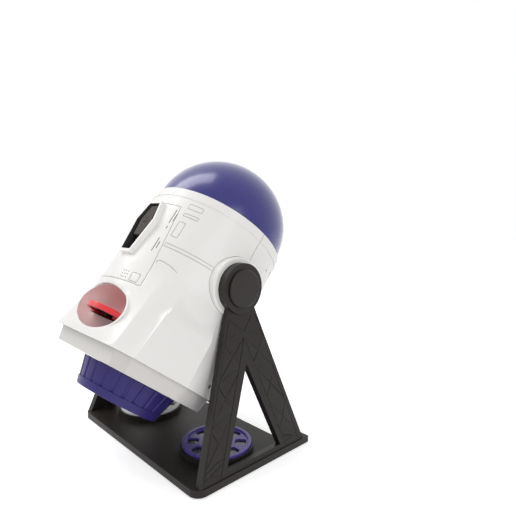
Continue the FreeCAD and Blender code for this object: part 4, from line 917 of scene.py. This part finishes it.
def brace_lines():
    """Engraved lines of one upright's outer face, as (closed, corners of (across, height))."""
    lines = []
    for side in (-1, 1):
        for along, top in ((inner_edge, 103.0), (outer_edge, 120.0)):
            lines.append((False, ((along(side, BRACE_LOW), BRACE_LOW), (along(side, top), top))))
        for index, (edge, middle) in enumerate(BRACE_ARCS):
            if index:
                start, end = inner_edge(side, middle), outer_edge(side, edge)
                lines.append((False, ((start, middle), ((start + end) / 2, (middle + edge) / 2 + 1.4), (end, edge))))
            low_edge, low_middle = BRACE_ARCS[index + 1] if index + 1 < len(BRACE_ARCS) else (BRACE_LOW, BRACE_LOW)
            lines.append((False, ((outer_edge(side, edge - 2), edge - 2),
                                  (inner_edge(side, low_middle + 2), low_middle + 2))))
            lines.append((False, ((inner_edge(side, middle - 3), middle - 3),
                                  (outer_edge(side, low_edge + 2), low_edge + 2))))
    return lines + [(False, line) for line in HEAD_BRACES]


def plate_channels(side, width, depth):
    channels = []
    for closed, line in brace_lines():
        points = [plate_point(side, across, height) for across, height in line]
        normal = (plate_point(side, 0, 50, 1) - plate_point(side, 0, 50)).normalized()
        channels.append(channel(points, [normal] * len(points), width, depth, closed))
    return channels


class PROJECTOR_OT_stand(bpy.types.Operator):
    """Base, uprights with engraved braces, bearing caps and bosses."""
    bl_idname = "projector.stand"
    bl_label = "Stand"

    def execute(self, context):
        look = context.scene.projector_stand
        black = stand_black()
        # The brace grooves' cut faces take a darker black as painted shade.
        groove = listed_plastic("brace_groove_painted_shade")
        for name, side in (("right", 1), ("left", -1)):
            upright = node_copy("leg_" + name, ["upright_" + name], 0.5)
            engrave(upright, plate_channels(side, look.groove_width, look.groove_depth), black, groove)
            shade(upright)
            give(upright, None, "stand", "black_plastic", "upright_" + name)
            cap = node_copy("bearing_cap_" + name, ["pivot_cap_" + name], 0.6, 3)
            shade(cap)
            give(cap, listed_plastic("cap_black"), "stand", "black_plastic", "pivot_cap_" + name)
            boss = node_copy("collar_" + name, ["pivot_boss_" + name], 0.4, 3)
            shade(boss)
            give(boss, white_case(), "projector", "white_plastic", "pivot_boss_" + name)
        base = node_copy("base_plate", ["base_tray"], 0.5)
        shade(base)
        give(base, black, "stand", "black_plastic", "base_tray")
        return {"FINISHED"}


# Lens end, discs and switch

FILM_SLOT = "film_dark"
DISC_SLOTS = {"red": "red_plastic", "blue": "blue_plastic", "white": "pale_plastic"}


class PROJECTOR_OT_optics(bpy.types.Operator):
    """Focus ring, and the slide discs with star specks on their films."""
    bl_idname = "projector.optics"
    bl_label = "Lens and Discs"

    def execute(self, context):
        look = context.scene.projector_discs
        ring = node_copy("focus_grip", ["focus_ring"], 0.35)
        shade(ring)
        give(ring, listed_plastic("ring_violet"), "focus_ring", "violet_ring", "focus_ring")
        for name, disc_slot in DISC_SLOTS.items():
            disc = node_copy(name + "_wheel", [name + "_disc"], 0.25)
            shade(disc)
            give(disc, listed_plastic(name + "_disc_plastic"), name + "_disc", disc_slot, name + "_disc")
            specks = scatter_dots(name + "_pictures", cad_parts[name + "_disc_films"].data.copy(),
                                  look.speck_count, look.speck_seed + len(name), look.speck_radius / MM,
                                  listed_plastic("picture_white"))
            give(specks, None, name + "_disc", FILM_SLOT)
        return {"FINISHED"}


class PROJECTOR_OT_switch(bpy.types.Operator):
    """Sliding switch in the front of the case."""
    bl_idname = "projector.switch"
    bl_label = "Switch"

    def execute(self, context):
        slider = node_copy("switch_grip", ["switch_slider"], 0.4)
        tree = surface_tree(slider)
        brown = listed_plastic("slider_brown")
        pits = []
        for x, up in SLIDER_DOTS:
            start = case_point(x, -CASE_RADIUS * 2, SLIDER_CENTRE + up)
            inwards = (case_point(x, 0, SLIDER_CENTRE + up) - start).normalized()
            pits.append(pit(tree.ray_cast(start, inwards)[0], -inwards, SLIDER_DOT_RADIUS * MM,
                            SLIDER_DOT_DEPTH * MM))
        # The dots' cut faces are painted black as painted shade in the pits.
        engrave(slider, pits, brown, listed_plastic("black_parts_and_painted_shade"))
        shade(slider)
        give(slider, None, "switch_slider", "slider_grey", "switch_slider")
        return {"FINISHED"}


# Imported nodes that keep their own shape

KEPT_NODES = {
    "plated_steel": ("stand_screws", "case_screws", "pivot_washer_right", "pivot_washer_left", "pivot_screw_right",
                     "pivot_screw_left", "door_screw", "battery_contacts"),
    "rubber_black": ("rubber_feet",),
    "black_parts_and_painted_shade": ("lamp_deck", "power_switch", "battery_tray", "disc_guide", "lamp_tube", "lens_barrel",
                     "lens_carrier"),
    "circuit_green": ("star_board", "picture_board"),
    "lamp_lens": ("star_lamp", "picture_lamp"),
    "battery_wrap": ("batteries",),
    "crown_glass": ("condenser_lens", "objective_lens"),
    "hub_grey": ("red_disc_hub", "blue_disc_hub", "white_disc_hub"),
    "picture_film": ("red_disc_films", "blue_disc_films"),
    "film_brown": ("white_disc_films",),
}


def kept_finish(name):
    """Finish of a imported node, by its name."""
    if name == "plated_steel":
        return steel(name, (0.62, 0.62, 0.62), 0.22)
    if name == "lamp_lens":
        return clear_plastic(name, (0.95, 0.95, 0.9), 0.05, 0.9)
    if name == "crown_glass":
        return clear_plastic(name, (0.93, 0.96, 1.0), 0.02, 1.0, 1.5)
    return listed_plastic(name)


class PROJECTOR_OT_fittings(bpy.types.Operator):
    """Finishes of the small fittings and of the pieces inside the case."""
    bl_idname = "projector.fittings"
    bl_label = "Fittings"

    def execute(self, context):
        for kind, nodes in KEPT_NODES.items():
            finish = kept_finish(kind)
            for node in nodes:
                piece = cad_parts[node]
                for slot in piece.material_slots:
                    slot.material = finish
        return {"FINISHED"}


# Stage

CAMERA_PLACE = Vector((0.3222, -0.232, 0.1952))
CAMERA_RIGHT = Vector((0.7044, 0.7095, 0.0189))
CAMERA_DOWN = Vector((0.0717, -0.0447, -0.9964))
CAMERA_AHEAD = Vector((-0.7062, 0.7033, -0.0823))
CAMERA_LENS = 30.23
LAMP_AIM = (0, 0, 0.15)
KEY_PLACE = (-0.6, -0.35, 1.2)
KEY_SIZE = (0.5, 1.4)
FILL_PLACE = (0.9, -0.25, 0.45)
FILL_SIZE = (0.6, 0.6)
FILL_AIM = (0, 0, 0.12)
FLOOR_HALF = 6
FLOOR_GLOW = 0.5


def add_lamp(name, place, aim, size, power):
    data = bpy.data.lights.new(name, "AREA")
    data.shape = "RECTANGLE"
    data.size, data.size_y = size
    data.energy = power
    lamp = bpy.data.objects.new(name, data)
    bpy.context.scene.collection.objects.link(lamp)
    lamp.location = place
    lamp.rotation_euler = (Vector(aim) - Vector(place)).to_track_quat("-Z", "Y").to_euler()
    return lamp


def seen_rays(tree):
    """Mask of the rays that see the background: straight, in gloss, or through clear plastic."""
    path = tree.nodes.new("ShaderNodeLightPath")
    seen = math_node(tree, "MAXIMUM", path.outputs["Is Camera Ray"], path.outputs["Is Glossy Ray"])
    return math_node(tree, "MAXIMUM", seen, path.outputs["Is Transmission Ray"])


def pale_floor():
    """Floor that reads as white paper and keeps the object's shadow."""
    finish, tree, surface = new_finish("floor_white")
    surface.inputs["Base Color"].default_value = (0.92, 0.92, 0.92, 1)
    surface.inputs["Roughness"].default_value = 0.9
    surface.inputs["Specular IOR Level"].default_value = 0.1
    surface.inputs["Emission Color"].default_value = (1, 1, 1, 1)
    link(tree, math_node(tree, "MULTIPLY", seen_rays(tree), FLOOR_GLOW), surface.inputs["Emission Strength"])
    return finish


class PROJECTOR_OT_stage(bpy.types.Operator):
    """Floor, soft studio light and the camera."""
    bl_idname = "projector.stage"
    bl_label = "Stage"

    def execute(self, context):
        scene = context.scene
        look = scene.projector_stage
        corners = [(x * FLOOR_HALF, y * FLOOR_HALF, 0) for x, y in ((-1, -1), (1, -1), (1, 1), (-1, 1))]
        floor = add_piece("floor", mesh_from("floor", corners, [(0, 1, 2, 3)]))
        floor.data.materials.append(pale_floor())
        world = bpy.data.worlds.new("studio")
        scene.world = world
        world.use_nodes = True
        tree = world.node_tree
        tree.nodes.clear()
        output = tree.nodes.new("ShaderNodeOutputWorld")
        lit = tree.nodes.new("ShaderNodeBackground")
        lit.inputs["Strength"].default_value = look.ambient
        white = tree.nodes.new("ShaderNodeBackground")
        for shown in (lit, white):
            shown.inputs["Color"].default_value = (1, 1, 1, 1)
        mix = tree.nodes.new("ShaderNodeMixShader")
        link(tree, seen_rays(tree), mix.inputs[0])
        link(tree, lit.outputs[0], mix.inputs[1])
        link(tree, white.outputs[0], mix.inputs[2])
        link(tree, mix.outputs[0], output.inputs["Surface"])
        add_lamp("key", KEY_PLACE, LAMP_AIM, KEY_SIZE, look.key_power)
        add_lamp("fill", FILL_PLACE, FILL_AIM, FILL_SIZE, look.fill_power)
        data = bpy.data.cameras.new("camera")
        data.lens = CAMERA_LENS
        data.sensor_width = 36.0
        data.clip_start = 0.01
        data.clip_end = 50.0
        camera = bpy.data.objects.new("camera", data)
        scene.collection.objects.link(camera)
        camera.location = CAMERA_PLACE
        turn = Matrix((CAMERA_RIGHT, -CAMERA_DOWN, -CAMERA_AHEAD)).transposed()
        camera.rotation_mode = "QUATERNION"
        camera.rotation_quaternion = turn.to_quaternion()
        scene.camera = camera
        scene.view_settings.view_transform = "Standard"
        return {"FINISHED"}


class PROJECTOR_PT_panel(bpy.types.Panel):
    """Sizes, colours and pieces of the projector."""
    bl_idname = "PROJECTOR_PT_panel"
    bl_label = "Star Projector"
    bl_space_type = "VIEW_3D"
    bl_region_type = "UI"
    bl_category = "Star Projector"

    def draw(self, context):
        for name, kind in GROUPS.items():
            box = self.layout.box()
            for value in kind.__annotations__:
                box.prop(getattr(context.scene, name), value)
        for operator in OPERATORS:
            self.layout.operator(operator.bl_idname)


GROUPS = {"projector_case": ProjectorCase, "projector_dome": ProjectorDome, "projector_discs": ProjectorDiscs,
          "projector_stand": ProjectorStand, "projector_stage": ProjectorStage}
OPERATORS = (PROJECTOR_OT_stage, PROJECTOR_OT_fittings, PROJECTOR_OT_stand, PROJECTOR_OT_case, PROJECTOR_OT_dome,
             PROJECTOR_OT_optics, PROJECTOR_OT_switch)


def register():
    for group in GROUPS.values():
        bpy.utils.register_class(group)
    for operator in OPERATORS:
        bpy.utils.register_class(operator)
    bpy.utils.register_class(PROJECTOR_PT_panel)
    for name, group in GROUPS.items():
        setattr(bpy.types.Scene, name, PointerProperty(type=group))


def unregister():
    for name in GROUPS:
        delattr(bpy.types.Scene, name)
    bpy.utils.unregister_class(PROJECTOR_PT_panel)
    for operator in reversed(OPERATORS):
        bpy.utils.unregister_class(operator)
    for group in reversed(tuple(GROUPS.values())):
        bpy.utils.unregister_class(group)


def main():
    register()
    bpy.ops.projector.stage()
    bpy.ops.projector.fittings()
    bpy.ops.projector.stand()
    bpy.ops.projector.case()
    bpy.ops.projector.dome()
    bpy.ops.projector.optics()
    bpy.ops.projector.switch()


if __name__ == "__main__":
    main()
